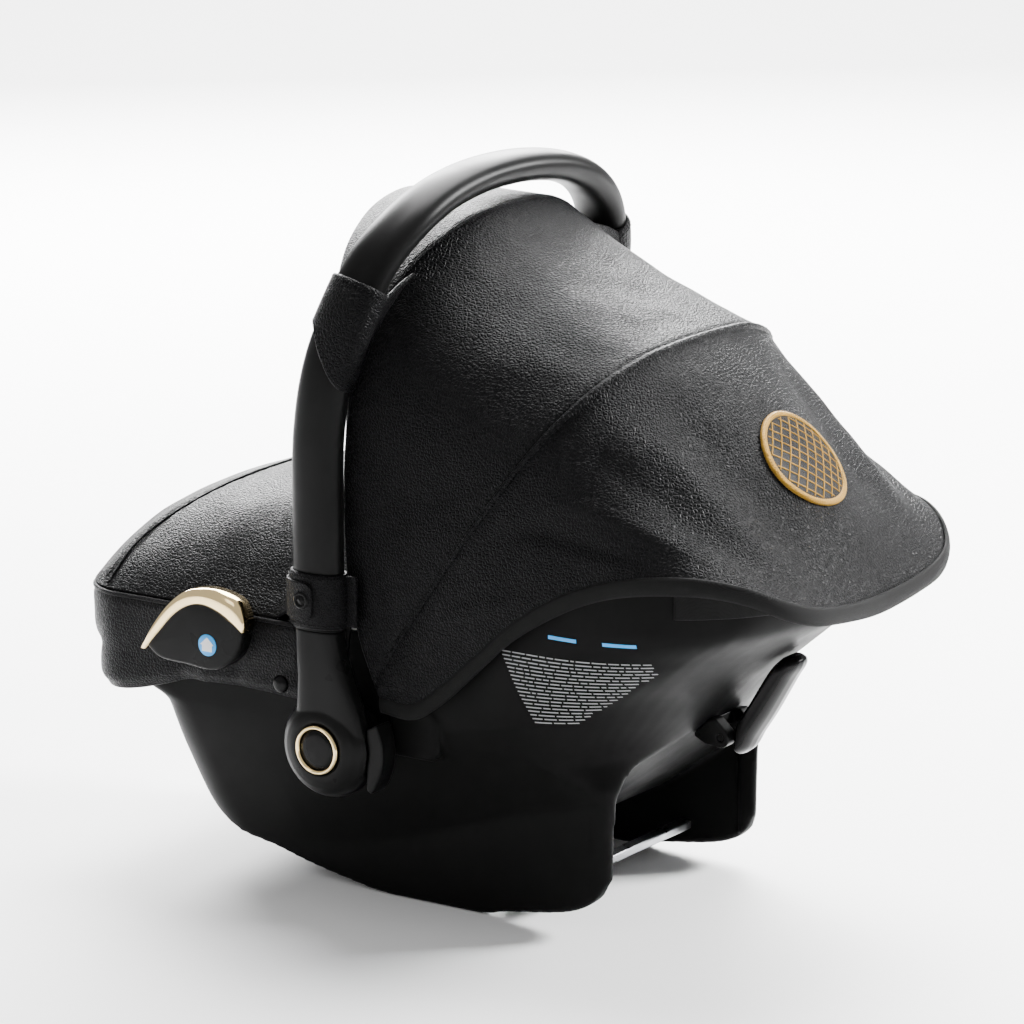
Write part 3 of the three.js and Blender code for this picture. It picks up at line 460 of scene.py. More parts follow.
def metal_finish(name, colour, rough, scale=300, spread=0.06, depth=0.00003):
    f = Finish(name, colour, rough, 1.0)
    f.bump(f.noise(scale, 4), depth, 0.5)
    f.roughness(f.remap(f.noise(scale * 0.3, 4), 0.3, 0.7, max(rough - spread, 0.04), rough + spread))
    f.two_colours(f.noise(scale * 0.2, 3), tuple(c * 0.86 for c in colour), colour)
    return f.material


def thread_finish(name, colour, scale, metallic):
    f = Finish(name, colour, 0.45, metallic, Specular_IOR_Level=0.3)
    twist = f.waves(scale, "DIAGONAL")
    f.bump(f.maths("ADD", twist, f.noise(1500, 2)), 0.0005, 0.9)
    f.roughness(f.remap(twist, 0, 1, 0.34, 0.6))
    f.two_colours(twist, tuple(c * 0.45 for c in colour), colour)
    return f.material


def foam_finish():
    f = Finish("expanded foam", (0.8, 0.8, 0.78), 0.9)
    beads = f.cells(260)
    f.bump(beads, 0.0006, 0.6)
    f.two_colours(f.remap(beads, 0, 0.2, 0, 1), (0.62, 0.62, 0.6), (0.84, 0.84, 0.82))
    return f.material


def ink_finish(name, colour):
    f = Finish(name, colour, 0.5)
    f.two_colours(f.noise(500, 3), tuple(c * 0.85 for c in colour), colour)
    f.bump(f.noise(1800, 2), 0.00004, 0.4)
    return f.material


LEATHER = leather_finish()
LEATHER_FLAT = leather_finish("pebbled leather on trims", 430, 0.0006)
SHELL = moulded_finish("shell plastic", 0.0034, 0.42)
SATIN = moulded_finish("satin plastic", 0.0036, 0.31, 2600, 0.00003, 0.06)
TUBE_PAINT = moulded_finish("handle coating", 0.004, 0.36, 3000, 0.00003, 0.06)
GLOSS = moulded_finish("gloss plastic", 0.003, 0.16, 900, 0.00001, 0.07)
GLOSS_GUIDE = moulded_finish("guide plastic", 0.0045, 0.28, 2600, 0.00002, 0.06)
KNIT = knit_finish()
QUILT = knit_finish("padded knit", 640)
WEBBING = webbing_finish()
BINDING = webbing_finish("woven binding", 0.003, 560)
FOAM = foam_finish()
STEEL = metal_finish("galvanised steel", (0.46, 0.47, 0.49), 0.34, 260, 0.1)
GOLD = metal_finish("gold chrome", (0.86, 0.66, 0.34), 0.1, 60, 0.03, 0.00001)
GOLD_THREAD = thread_finish("gold thread", (0.56, 0.31, 0.04), 900, 0.3)
BLACK_THREAD = thread_finish("black thread", (0.006, 0.006, 0.0065), 1200, 0.0)
RED = moulded_finish("red push plastic", 0.05, 0.3, plain=(0.5, 0.02, 0.02))
PALE_INK = ink_finish("pale print", (0.62, 0.62, 0.62))
GREY_INK = ink_finish("grey print", (0.2, 0.2, 0.21))
BLUE_INK = ink_finish("blue print", (0.01, 0.27, 0.66))


# ---- stage, light and camera -------------------------------------------------------------
def add_light(name, location, target, energy, size, size_y):
    data = bpy.data.lights.new(name, "AREA")
    data.energy, data.shape, data.size, data.size_y = energy, "RECTANGLE", size, size_y
    ob = bpy.data.objects.new(name, data)
    ob.location = location
    ob.rotation_euler = (Vector(target) - Vector(location)).to_track_quat("-Z", "Y").to_euler()
    bpy.context.collection.objects.link(ob)


def build_stage():
    half, drop = 30, -0.001
    corners = [(-half, -half, drop), (half, -half, drop), (half, half, drop), (-half, half, drop)]
    floor_mesh = raw_mesh("floor", corners, [(0, 1, 2, 3)])
    paper = Finish("pale floor", (0.93, 0.93, 0.93), 0.9)
    paper.two_colours(paper.noise(3, 2), (0.92, 0.92, 0.92), (0.94, 0.94, 0.94))
    new_object("floor", floor_mesh, paper.material, False)
    world = bpy.data.worlds.new("studio")
    bpy.context.scene.world = world
    world.use_nodes = True
    sky = world.node_tree.nodes["Background"]
    sky.inputs["Color"].default_value = (1, 1, 1, 1)
    sky.inputs["Strength"].default_value = 0.75
    middle = (0, 0, 0.3)
    add_light("key from the head end", (-1.7, 1.5, 1.5), middle, 230, 0.7, 0.7)
    add_light("rim from behind", (-2.6, -2.3, 1.7), middle, 520, 2.6, 1.2)
    add_light("top", (-1.8, -0.9, 4.0), middle, 560, 2.6, 2.6)
    add_light("far floor", (-4.4, -3.0, 3.6), (-4.6, -3.1, 0), 900, 4.5, 4.5)
    add_light("side fill", (2.8, -0.9, 1.9), middle, 9, 0.9, 1.4)


def build_camera():
    azimuth, elevation, distance = math.radians(124.0), math.radians(13.7), 4.554
    back = Vector((math.sin(azimuth) * math.cos(elevation), -math.cos(azimuth) * math.cos(elevation),
                   math.sin(elevation)))
    target = at(0, -19.3, 306.5)
    data = bpy.data.cameras.new("camera")
    data.sensor_width, data.lens = 36, 193.36
    data.clip_end = 100
    ob = bpy.data.objects.new("camera", data)
    ob.location = target + back * distance
    ob.rotation_euler = back.to_track_quat("Z", "Y").to_euler()
    bpy.context.collection.objects.link(ob)
    bpy.context.scene.camera = ob


build_camera()
build_stage()

# ---- shell -------------------------------------------------------------------------------
FRONT_Y = pchip([(0, -225), (30, -256), (60, -268), (100, -273), (143, -277), (165, -313), (195, -329),
                 (250, -332)])
BACK_Y = pchip([(0, 152), (100, 154), (118, 156), (131, 160), (150, 173), (176, 198), (203, 223),
                (218, 240), (240, 265), (270, 298), (345, 300)])
FRONT_RADIUS = pchip([(0, 60), (30, 55), (143, 46), (195, 38), (250, 40)])
BACK_RADIUS = pchip([(0, 14), (118, 16), (131, 40), (150, 90), (176, 125), (203, 140), (345, 150)])
FLARE_LOW = pchip([(-150, 30), (-60, 48), (60, 88), (150, 116), (186, 148), (256, 200), (330, 262)])
FLARE_HIGH = pchip([(-230, 150), (-60, 152), (60, 172), (120, 186), (176, 210), (213, 231), (250, 255),
                    (290, 285)])
BASE_HALF, RIM_HALF, WALL = 122, 176, 4


def shell_half_width(y, z):
    low, high = FLARE_LOW(y), FLARE_HIGH(y)
    flare = np.clip((z - low) / (high - low), 0, 1)
    flare = 0.55 * flare + 0.45 * smoothstep(flare)
    upper = 166 + (RIM_HALF - 166) * np.clip((z - 150) / 90, 0, 1)
    return BASE_HALF + (upper - BASE_HALF) * flare


def shell_ring(z, offset, corner=18, side=26, flat=8):
    """Right half of the shell's outline at one height, from the front middle to the back middle."""
    front, back = FRONT_Y(z) - offset, BACK_Y(z) + offset
    rf, rb = max(FRONT_RADIUS(z) + offset, 8), max(BACK_RADIUS(z) + offset, 8)
    a = np.linspace(0, math.pi / 2, corner)
    inset = np.r_[rf * (1 - np.sin(a)), np.zeros(side), rb * (1 - np.cos(a))]
    y = np.r_[front + rf * (1 - np.cos(a)),
              np.linspace(front + rf, back - rb, side + 2)[1:-1], back - rb * (1 - np.sin(a))]
    x = np.maximum(shell_half_width(y, z) + offset - inset, 2)
    lead = np.linspace(0, x[0], flat, endpoint=False)
    tail = np.linspace(x[-1], 0, flat + 1)[1:]
    return np.c_[np.r_[lead, x, tail], np.r_[np.full(flat, y[0]), y, np.full(flat, y[-1])],
                 np.full(len(x) + 2 * flat, z)]


def shell_loft(name, offset, material=None):
    rings = []
    for z in np.linspace(-6, 350, 90):
        half = shell_ring(z, offset)
        rings.append(np.vstack([half, (half * (-1, 1, 1))[-2:0:-1]]))
    return loft(name, rings, material)


def smooth_line(points, step=4.0):
    line = pchip(points)
    y = np.arange(points[0][0], points[-1][0] + step, step)
    return np.c_[y, line(y)]


RIM_POINTS = [(-400, 236), (-110, 236), (-20, 243), (50, 262), (100, 286), (150, 302), (200, 311),
              (400, 306)]
RIM = pchip(RIM_POINTS)
ROCKER_POINTS = [(-295, 100), (-266, 60), (-245, 44), (-215, 29), (-174, 21), (-151, 15), (-100, 5),
                 (-64, 0), (34, 0), (51, 4), (110, 14), (128, 20), (144, 32), (152, 48)]
FLOOR_POINTS = [(-300, 215), (-268, 150), (-246, 100), (-215, 70), (-174, 52), (-120, 44), (-60, 42),
                (0, 46), (60, 68), (120, 110), (160, 146), (190, 175), (212, 198), (235, 222),
                (262, 247), (290, 276), (330, 330)]
MOUTH = [(107, -20), (107, 104), (104, 119), (94, 132), (76, 145), (56, 157), (26, 169), (0, 171)]
MOUTH_ROOF = [(100, -20), (100, 82), (160, 139), (190, 168), (240, 214), (240, -20)]
TUNNEL = [(-205, -20), (-205, 58), (-174, 46), (-120, 38), (-60, 36), (0, 40), (60, 58), (110, 94),
          (138, 118), (138, -20)]


def shell():
    rocker = np.vstack([smooth_line(ROCKER_POINTS), [(170, 60), (400, 60), (400, 400), (-400, 400),
                                                     (-400, 100)]])
    body = shell_loft("shell_look", 0, SHELL)
    boolean(body, prism_x("rocker", rocker, -260, 260), "INTERSECT")
    rim = np.vstack([smooth_line(RIM_POINTS, 8), [(404, -40), (-400, -40)]])
    boolean(body, prism_x("rim", rim, -261, 261), "INTERSECT")
    floor = np.vstack([smooth_line(FLOOR_POINTS), [(402, 420), (402, 600), (-400, 600), (-400, 260)]])
    bucket = shell_loft("bucket", -WALL - 1.3)
    boolean(bucket, prism_x("floor", floor, -262, 262), "INTERSECT")
    boolean(body, bucket, "DIFFERENCE")
    boolean(body, prism_x("tunnel", TUNNEL, -111, 111), "DIFFERENCE")
    half = np.vstack([[MOUTH[0]], centripetal(MOUTH[1:], 8)])
    outline = np.vstack([half, (half * (-1, 1))[-2::-1]])
    mouth = loft("mouth", [np.c_[outline[:, 0], np.full(len(outline), y), outline[:, 1]]
                           for y in (20.0, 320.0)], None, smooth=False)
    boolean(mouth, prism_x("mouth roof", MOUTH_ROOF, -151, 151), "INTERSECT")
    boolean(body, mouth, "DIFFERENCE")
    for side in (-1, 1):
        boss = lathe_x("boss", [(31, x) for x in sorted((side * 150, side * 175))], None)
        boolean(body, boss, "UNION")
        block = prism_x("adapter", [(-22, 138), (18, 138), (24, 144), (24, 172), (16, 180), (-22, 180)],
                        *sorted((side * 149.5, side * 172)))
        boolean(body, block, "UNION")
    return attach(remesh(body, 2.4, 4), "seat", "shell_plastic", "shell")


SHELL_OB = shell()


# ---- handle ------------------------------------------------------------------------------
HANDLE_POINTS = [(200, -72, 244), (200, -72, 330), (199.5, -71, 405), (195, -64, 458), (184, -51, 505),
                 (162, -42, 543), (130, -36, 567), (92, -35, 582), (46, -36, 590), (0, -37, 592)]
HANDLE_PATH = whole(HANDLE_POINTS)
LEG_X, LEG_Y = HANDLE_POINTS[0][:2]
TUBE_HALF_WIDE, TUBE_HALF_DEEP = 23, 13.5


def squarish(angles, power):
    """Cosines and sines of an oval that comes nearer to a rectangle as the power falls."""
    c, s = np.cos(angles), np.sin(angles)
    return np.sign(c) * np.abs(c) ** power, np.sign(s) * np.abs(s) ** power


def handle_ring(t, grow, steps=48):
    centre = along(HANDLE_PATH, t)[0]
    ahead, behind = along(HANDLE_PATH, min(t + 0.004, 1))[0], along(HANDLE_PATH, max(t - 0.004, 0))[0]
    tangent = unit(ahead - behind)
    wide = unit(np.array((0.0, 1, 0)) - tangent * tangent[1])
    deep = np.cross(tangent, wide)
    c, s = squarish(turn(steps), 0.9)
    return (centre + np.outer((TUBE_HALF_WIDE + grow) * c, wide)
            + np.outer((TUBE_HALF_DEEP + grow) * s, deep))


attach(loft("handle_look", [handle_ring(t, 0) for t in np.linspace(0, 1, 180)], TUBE_PAINT),
       "handle", "satin_plastic", "handle_tube")


def hub(name):
    dome = lathe_x("dome", [(0, 183), (38, 183), (41.5, 184.5), (43, 188), (43, 195.5), (41.8, 200),
                            (38.5, 205), (33, 209), (27.5, 211.2), (24, 212), (21.2, 212), (20.9, 210),
                            (0, 210)], SATIN)
    rows = [(140, -96, -26, 186, 206), (156, -95, -27, 186, 208), (172, -93, -30, 186.5, 209.5),
            (188, -91.5, -35, 187, 210.5), (205, -90, -41, 188, 211.5), (225, -90.5, -47, 189, 212),
            (243.6, -91, -50, 189.5, 212)]
    steps = 64
    c, s = squarish(turn(steps), 0.55)
    heights = np.linspace(140, 243.6, 26)
    parts = np.array([[pchip([(r[0], r[k]) for r in rows])(z) for k in (1, 2, 3, 4)] for z in heights])
    rings = [np.c_[(q[2] + q[3]) / 2 + (q[3] - q[2]) / 2 * c, (q[0] + q[1]) / 2 + (q[1] - q[0]) / 2 * s,
                   np.full(steps, z)] for q, z in zip(parts, heights)]
    boolean(dome, loft("neck", rings, SATIN), "UNION")
    boolean(dome, lathe_x("ring seat", [(21.2, 209.6), (21.2, 222)], None), "DIFFERENCE")
    notch = prism_x("button pocket", [(-28, 108), (-28, 172), (10, 172), (10, 108)], 180, 200)
    boolean(dome, notch, "DIFFERENCE")
    dome.name = name
    remesh(dome, 0.9, 8)
    paint(dome.data, SATIN)
    return dome


both_sides(hub, "hub", "handle", ["handle_hub"], "satin_plastic")


def hub_ring(name):
    profile = [(16.9, 210), (16.7, 212.4), (17.2, 214.2), (18.2, 215.2), (19.4, 215.2), (20.3, 214.2),
               (20.6, 212.4), (20.6, 210)]
    r, x = np.array(profile).T
    rings = [np.c_[x, PIVOT[0] + r * math.cos(t), PIVOT[1] + r * math.sin(t)] for t in turn(128)]
    return loft(name, rings, GOLD, closed=True)


both_sides(hub_ring, "hub_ring", "handle", ["hub_ring"], "gold_chrome")


def hub_cap(name):
    return lathe_x(name, [(0, 210), (16.3, 210), (16.4, 212.2), (15.8, 212.8), (12, 213.5), (6, 213.9),
                          (0, 214)], GLOSS)


both_sides(hub_cap, "hub_cap", "handle", ["hub_cap"], "gloss_plastic")


def softened(node, voxel, rounds, material):
    def build(name):
        return remesh(node_copy(node, name, material), voxel, rounds)
    return build


both_sides(softened("handle_button_right", 0.8, 6, SATIN), "hub_button", "handle_button_{}",
           ["handle_button"], "satin_plastic")


def stitches(name, path, spacing=4.2):
    """Row of short thread stitches along a path."""
    length, radius, corners = 2.7, 0.38, 6
    path = np.asarray(path, float)
    total = np.linalg.norm(np.diff(path, axis=0), axis=1).sum()
    count = max(int(total / spacing), 2)
    centres = along(path, (np.arange(count) + 0.5) / count)
    ahead = along(path, np.clip((np.arange(count) + 0.6) / count, 0, 1))
    points, faces = [], []
    for c, n in zip(centres, ahead):
        d = unit(n - c)
        side = unit(np.cross(d, (0.31, 0.52, 0.79)))
        top = np.cross(side, d)
        base = len(points)
        for k, r in ((-0.5, 0.3), (-0.3, 1), (0.3, 1), (0.5, 0.3)):
            points += [c + d * length * k + radius * r * (math.cos(a) * side + math.sin(a) * top)
                       for a in turn(corners)]
        faces += skin(4, corners, base=base)
        faces += [tuple(base + i for i in reversed(range(corners))),
                  tuple(base + 3 * corners + i for i in range(corners))]
    return new_object(name, raw_mesh(name, place(points), faces), BLACK_THREAD)


# ---- canopy ------------------------------------------------------------------------------
MIDDLE_ANGLE, MIDDLE_REACH = math.radians(55.5), 402
ROWS_FRONT, ROWS_REAR, CANOPY_COLUMNS = 64, 84, 230
FRONT_EDGE = whole([(185, -22, 192), (187, -39, 237), (186, -50, 285), (185.5, -54, 334), (184, -54, 391),
                    (179, -51, 445), (166, -45, 485), (140, -37, 519), (110, -30, 541), (80, -24, 555),
                    (46, -19, 564), (0, -16, 567)])
MIDDLE_EDGE = whole([(x, PIVOT[0] + r * math.cos(MIDDLE_ANGLE), PIVOT[1] + r * math.sin(MIDDLE_ANGLE))
                     for x, r in ((186, 74), (189, 142), (189, 211), (185, 251), (178, 296), (163, 337),
                                  (130, 374), (80, 396), (40, 401), (0, MIDDLE_REACH))])
HEM_EDGE = whole([(185, -20, 189), (187, 12, 188), (188, 36, 203), (188, 75, 238), (187, 113, 272),
                  (184, 151, 296), (181, 188, 311), (177, 231, 321), (167, 269, 323), (148, 300, 316),
                  (126, 320, 304), (100, 330, 295), (60, 333, 288), (0, 332, 284)])
VISOR_EDGE = whole([(172, -50, 476), (160, -74, 492), (145, -91, 508), (125, -101, 523), (95, -113, 541),
                    (60, -122, 555), (30, -126, 563), (0, -127, 566)])

# Soft folds of the canopy: (column, row) of both ends, height and half width in mm. Rows run from
# 0 at the front edge through 1 at the seam to 2 at the hem; columns from 0 to 1 across the seat.
FOLDS = [((0.20, 1.15), (0.285, 1.95), 3.4, 16), ((0.25, 1.20), (0.335, 1.90), -2.6, 13),
         ((0.305, 1.08), (0.375, 1.92), 3.2, 18), ((0.365, 1.10), (0.405, 1.90), -3.4, 16),
         ((0.405, 1.05), (0.44, 1.85), 2.4, 15), ((0.14, 0.20), (0.23, 0.95), 1.6, 24),
         ((0.30, 0.15), (0.36, 0.90), -1.5, 26), ((0.10, 1.3), (0.17, 1.9), -2.2, 12)]


def domed(p, crown, bulge):
    """Points of a row of cloth, moved outward by the bulge: sideways low down, upward on the crown."""
    out = np.c_[np.sign(p[:, 0]) * (1 - crown), (p[:, 1] - PIVOT[0]) * 0.0025 * crown, crown]
    return p + unit(out) * bulge[:, None]


def canopy_grid():
    s = np.linspace(0, 1, CANOPY_COLUMNS + 1)
    crown = np.sin(math.pi * s)
    front, middle, hem = (along(e, s) for e in (FRONT_EDGE, MIDDLE_EDGE, HEM_EDGE))
    grid, rows = [], []
    for start, end, count, bulge in (
            (front, middle, ROWS_FRONT, 2 - 10 * crown ** 3),
            (middle, hem, ROWS_REAR, (4 - 20 * crown ** 3) * (1 - crown ** 24) + 17 * crown ** 24)):
        first = len(grid) > 0
        for r in range(1 if first else 0, count + 1):
            t = (r / count) ** 1.7 if first else 1 - (1 - r / count) ** 1.7
            grid.append(domed(start + (end - start) * t, crown, bulge * math.sin(math.pi * t)))
            rows.append(t + first)
    grid, rows = np.array(grid), np.array(rows)
    col, row = np.meshgrid(s, rows)
    wide, tall = 940.0, 330.0
    height = np.zeros_like(col)
    for (s0, t0), (s1, t1), amount, width in FOLDS:
        for c in (col, 1 - col):
            ax, ay = s0 * wide, t0 * tall
            dx, dy = s1 * wide - ax, t1 * tall - ay
            across, down = c * wide - ax, row * tall - ay
            u = (across * dx + down * dy) / (dx * dx + dy * dy)
            off = ((across - u * dx) * dy - (down - u * dy) * dx) / math.hypot(dx, dy)
            height += amount * np.exp(-(off / width) ** 2) * smoothstep(u * 3) * smoothstep((1 - u) * 3)
    height += (1.5 * ripple(grid, 70, 3).reshape(col.shape)
               + 0.8 * ripple(grid, 28, 9).reshape(col.shape)) * smoothstep(np.abs(row - 1) * 6)
    pucker = np.exp(-np.abs(row - 1) * tall / 9) * np.sin(col * wide / 1.9 + 1.3 * np.sin(col * 40))
    beyond = (row - 1) * tall
    height += 0.35 * pucker - 2.6 * np.exp(-((beyond - 2.2) / 2.6) ** 2)
    height += 0.9 * np.exp(-((beyond + 3.5) / 4.0) ** 2)
    fade = smoothstep(col * 24) * smoothstep((1 - col) * 24)
    edge = smoothstep(row * 8) * smoothstep((2 - row) * 8)
    return grid + grid_normals(grid) * (height * fade * (0.25 + 0.75 * edge))[..., None]


CANOPY_GRID = canopy_grid()


def tie(ob, slot, *nodes):
    """Bakes a canopy piece's placement into its mesh and hides the CAD nodes that it stands for."""
    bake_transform(ob)
    if nodes:
        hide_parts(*nodes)
    return ob


def canopy():
    cloth = sheet_mesh("canopy_look", CANOPY_GRID, 1.8, LEATHER)
    seam = CANOPY_GRID[ROWS_FRONT][3:-3]
    path = seam - unit(seam - (0, *PIVOT)) * 0.2
    piping = tube("canopy_piping", path, 1.3, LEATHER_FLAT, 10, up=(0, -0.82, 0.57))
    tie(piping, "faux_leather")
    edging = tube("canopy_front_edging", CANOPY_GRID[0], 2.3, LEATHER_FLAT, 12, up=(0, 1, 0.1))
    tie(edging, "faux_leather")
    tie(cloth, "faux_leather", "canopy_front_panel", "canopy_rear_panel")
    return cloth


CANOPY = canopy()


def hem():
    edge = CANOPY_GRID[-1]
    wave = 0.7 * np.sin(np.linspace(0, 60, len(edge)))[:, None] * (0, 0, 1)
    drops = np.array([-1.5, 0, 1.6, 4, 6.4, 8.6, 10])
    swell = np.array([0, 0.9, 1.5, 1.7, 1.5, 0.9, 0])
    outward = unit(np.c_[edge[:, 0], edge[:, 1] - 60, np.zeros(len(edge))])
    grid = [edge + outward * b - np.array((0, 0, d)) + wave * min(max(d, 0) / 12, 1)
            for d, b in zip(drops, swell)]
    band = sheet_mesh("canopy_hem_look", grid, 3.0, BINDING)
    thread = stitches("canopy_hem_stitches", np.array(grid[1]) + outward * 0.7, 4.0)
    tie(thread, "webbing")
    tie(band, "webbing", "canopy_hem")


hem()


def visor():
    s = np.linspace(0, 1, 121)
    outer = along(VISOR_EDGE, s)
    inner = along(FRONT_EDGE, 0.3 + 0.4 * s)
    crown = np.sin(math.pi * s)
    grid = []
    for t in np.linspace(0, 0.985, 44):
        grid.append(domed(outer + (inner - outer) * t, crown, (1 + 3 * crown ** 3) * math.sin(math.pi * t)))
    grid = np.array(grid)
    grid[..., 2] += 0.8 * ripple(grid, 40, 5).reshape(grid.shape[:2])
    cloth = sheet_mesh("canopy_visor_look", grid, 2.2, LEATHER)
    edging = tube("canopy_visor_edging", grid[0] - (0, 0, 1), 2.0, LEATHER_FLAT, 12, up=(0, 1, 0.1))
    attach(edging, "handle", "faux_leather")
    attach(cloth, "handle", "faux_leather", "canopy_visor")


visor()


# ---- badge -------------------------------------------------------------------------------
def badge():
    tree = BVHTree.FromObject(CANOPY, bpy.context.evaluated_depsgraph_get())
    centre, normal = at(0, 262, 389), Vector((0, 0.745, 0.667)).normalized()
    right, upward = Vector((1, 0, 0)), normal.cross(Vector((1, 0, 0))).normalized()

    def on_cloth(u, v, height):
        start = centre + right * (u / 1000) + upward * (v / 1000) + normal * 0.08
        hit = tree.ray_cast(start, -normal, 0.2)[0]
        return (hit or centre) + normal * (height / 1000)

    rings, steps = (0.01, 8, 16, 24, 31, 36, 40, 41.5, 42), 96
    heights = (2.0, 2.0, 2.0, 2.0, 2.0, 2.0, 2.0, 1.6, 0.2)
    points = [on_cloth(r * math.cos(a), r * math.sin(a), h) for r, h in zip(rings, heights)
              for a in turn(steps)]
    patch = new_object("badge_patch", raw_mesh("patch", points, skin(len(rings), steps)), BLACK_THREAD)
    turns, section = 220, 10
    points = []
    for i, a in enumerate(turn(turns)):
        thread = 0.3 * (i % 2)
        for b in turn(section):
            r = 42.2 + (2.6 + thread) * math.cos(b)
            points.append(on_cloth(r * math.cos(a), r * math.sin(a), 1.3 + (2.0 + thread) * math.sin(b)))
    border = new_object("badge_border", raw_mesh("border", points, skin(turns, section, True)), GOLD_THREAD)
    points, faces = [], []
    pitch, reach = 8.6, 38.6
    for slant in (45, 135):
        a = math.radians(slant)
        d, n = (math.cos(a), math.sin(a)), (-math.sin(a), math.cos(a))
        for k in range(-5, 6):
            half = reach ** 2 - (k * pitch) ** 2
            if half <= 16:
                continue
            half = math.sqrt(half)
            count = max(int(half / 2), 2)
            base = len(points)
            for i in range(count * 2 + 1):
                t = -half + half * i / count
                for off, h in ((-0.55, 1.9), (-0.3, 2.6), (0.3, 2.6), (0.55, 1.9)):
                    points.append(on_cloth(d[0] * t + n[0] * (k * pitch + off),
                                           d[1] * t + n[1] * (k * pitch + off), h))
            for i in range(count * 2):
                faces += [(base + 4 * i + j, base + 4 * i + j + 1, base + 4 * i + 5 + j,
                           base + 4 * i + 4 + j) for j in range(3)]
    lattice = new_object("badge_lattice", raw_mesh("lattice", points, faces), GOLD_THREAD)
    tie(patch, "gold_thread", "canopy_badge")
    tie(border, "gold_thread")
    tie(lattice, "gold_thread")


badge()


# ---- straps that tie the canopy to the handle --------------------------------------------
STRAP_STEPS, STRAP_LOW, STRAP_TOP = 72, 0.208, 0.296


def slanted_ring(t, grow):
    """Ring around the tube that drops further down on the canopy side than on the foot side."""
    share = 0.5 + 0.5 * smoothstep(0.5 + 0.5 * np.cos(turn(STRAP_STEPS)))
    return np.array([handle_ring(STRAP_TOP - (STRAP_TOP - t) * f, grow, STRAP_STEPS)[i]
                     for i, f in enumerate(share)])


def closed_line(ring):
    return np.vstack([ring, ring[:1]])


def upper_strap(name):
    rise = np.linspace(STRAP_LOW + 0.0025, STRAP_TOP - 0.0025, 10)
    rings = [(STRAP_LOW, 0.7), (STRAP_LOW, 2.6), *[(t, 3.4) for t in rise], (STRAP_TOP, 2.6),
             (STRAP_TOP, 0.7), *[(t, 0.7) for t in rise[::-1][1:-1]]]
    band = loft(name, [slanted_ring(t, g) for t, g in rings], LEATHER, closed=True)
    columns = np.linspace(0.265, 0.362, 18)
    near_t = np.linspace(0.215, 0.292, 18)
    rows = []
    for s, t in zip(columns, near_t):
        near = handle_ring(t, 3.0, STRAP_STEPS)[6]
        cell = CANOPY_GRID[2, int(round(s * CANOPY_COLUMNS))]
        far = cell + (cell - (0, cell[1], 300)) / 190 * 3.5
        rows.append([near + (far - near) * u + np.array((0.8, 0, 0.4)) * 2.5 * math.sin(math.pi * u)
                     for u in np.linspace(0, 1, 14)])
    flap = sheet_mesh("flap", rows, 2.4, LEATHER)
    threads = [stitches("thread", closed_line(slanted_ring(t, 3.5))) for t in (0.2125, 0.2915)]
    return join(name, [band, flap, *threads], LEATHER)


both_sides(upper_strap, "upper_strap", "handle", ["canopy_upper_strap"], "faux_leather")


def oval(z, grow):
    a = turn(STRAP_STEPS)
    return np.c_[LEG_X + (TUBE_HALF_DEEP + grow) * np.cos(a), LEG_Y + (TUBE_HALF_WIDE + grow) * np.sin(a),
                 np.full(STRAP_STEPS, z)]


def lower_strap(name):
    profile = [(247, 0.7), (246.2, 1.8), (247, 3.0), (250, 3.6), (262, 3.9), (276, 3.9), (288, 3.6),
               (291, 3.0), (291.8, 1.8), (291, 0.7)]
    inner = [(z, 0.7) for z in np.linspace(289, 249, 6)]
    band = loft(name, [oval(z, g) for z, g in profile + inner], LEATHER_FLAT, closed=True)
    rows = []
    for v in np.linspace(-1, 1, 22):
        width = math.sqrt(max(1 - (abs(v) / 1.02) ** 5, 0))
        rows.append([])
        for u in np.linspace(0, 1, 30):
            a = math.radians(-96 + (88 + 20 * width) * u)
            rows[-1].append((LEG_X + 19.6 * math.cos(a), LEG_Y + 29.0 * math.sin(a), 269 + 15.5 * v))
    flap = sheet_mesh("flap", rows, 2.2, LEATHER_FLAT)
    threads = [stitches("thread", closed_line(oval(z, 4.1))) for z in (249.5, 288.5)]
    tail = make("tail", [(x, y, z) for x in (195.6, 199) for y in (-53, -36) for z in (248, 290)],
                [(0, 1, 3, 2), (4, 6, 7, 5), (0, 4, 5, 1), (2, 3, 7, 6), (0, 2, 6, 4), (1, 5, 7, 3)],
                LEATHER_FLAT, False)
    bevel(tail, 1.2, 3)
    return join(name, [band, flap, tail, *threads], LEATHER_FLAT)


both_sides(lower_strap, "lower_strap", "handle", ["canopy_lower_strap"], "faux_leather")


def strap_snap(name):
    return lathe_x(name, [(0, 218.2), (7, 218.2), (7.3, 219.2), (7.0, 220.2), (5.4, 220.8), (4.4, 220.2),
                          (4.2, 219.6), (3.6, 219.6), (3.2, 220.6), (0, 220.9)], GLOSS, -76, 270, 48)


both_sides(strap_snap, "strap_snap", "handle", ["canopy_strap_snap"], "gloss_plastic")


# ---- foot cover --------------------------------------------------------------------------
BAND_LOW = pchip([(-400, 150), (-309, 152), (-282, 156), (-256, 163), (-222, 172), (-160, 173), (-108, 171)])


def ring_part(z, offset, limit, head=False):
    """Half of the shell's outline beyond Y = limit, from the side to the middle plane."""
    ring = shell_ring(z, offset, 22, 60, 30)
    if not head:
        ring = ring[::-1]
    beyond = ring[:, 1] > limit if head else ring[:, 1] < limit
    i = int(np.argmax(beyond))
    a, b = ring[i - 1], ring[i]
    return np.vstack([a + (b - a) * (limit - a[1]) / (b[1] - a[1]), ring[i:]])


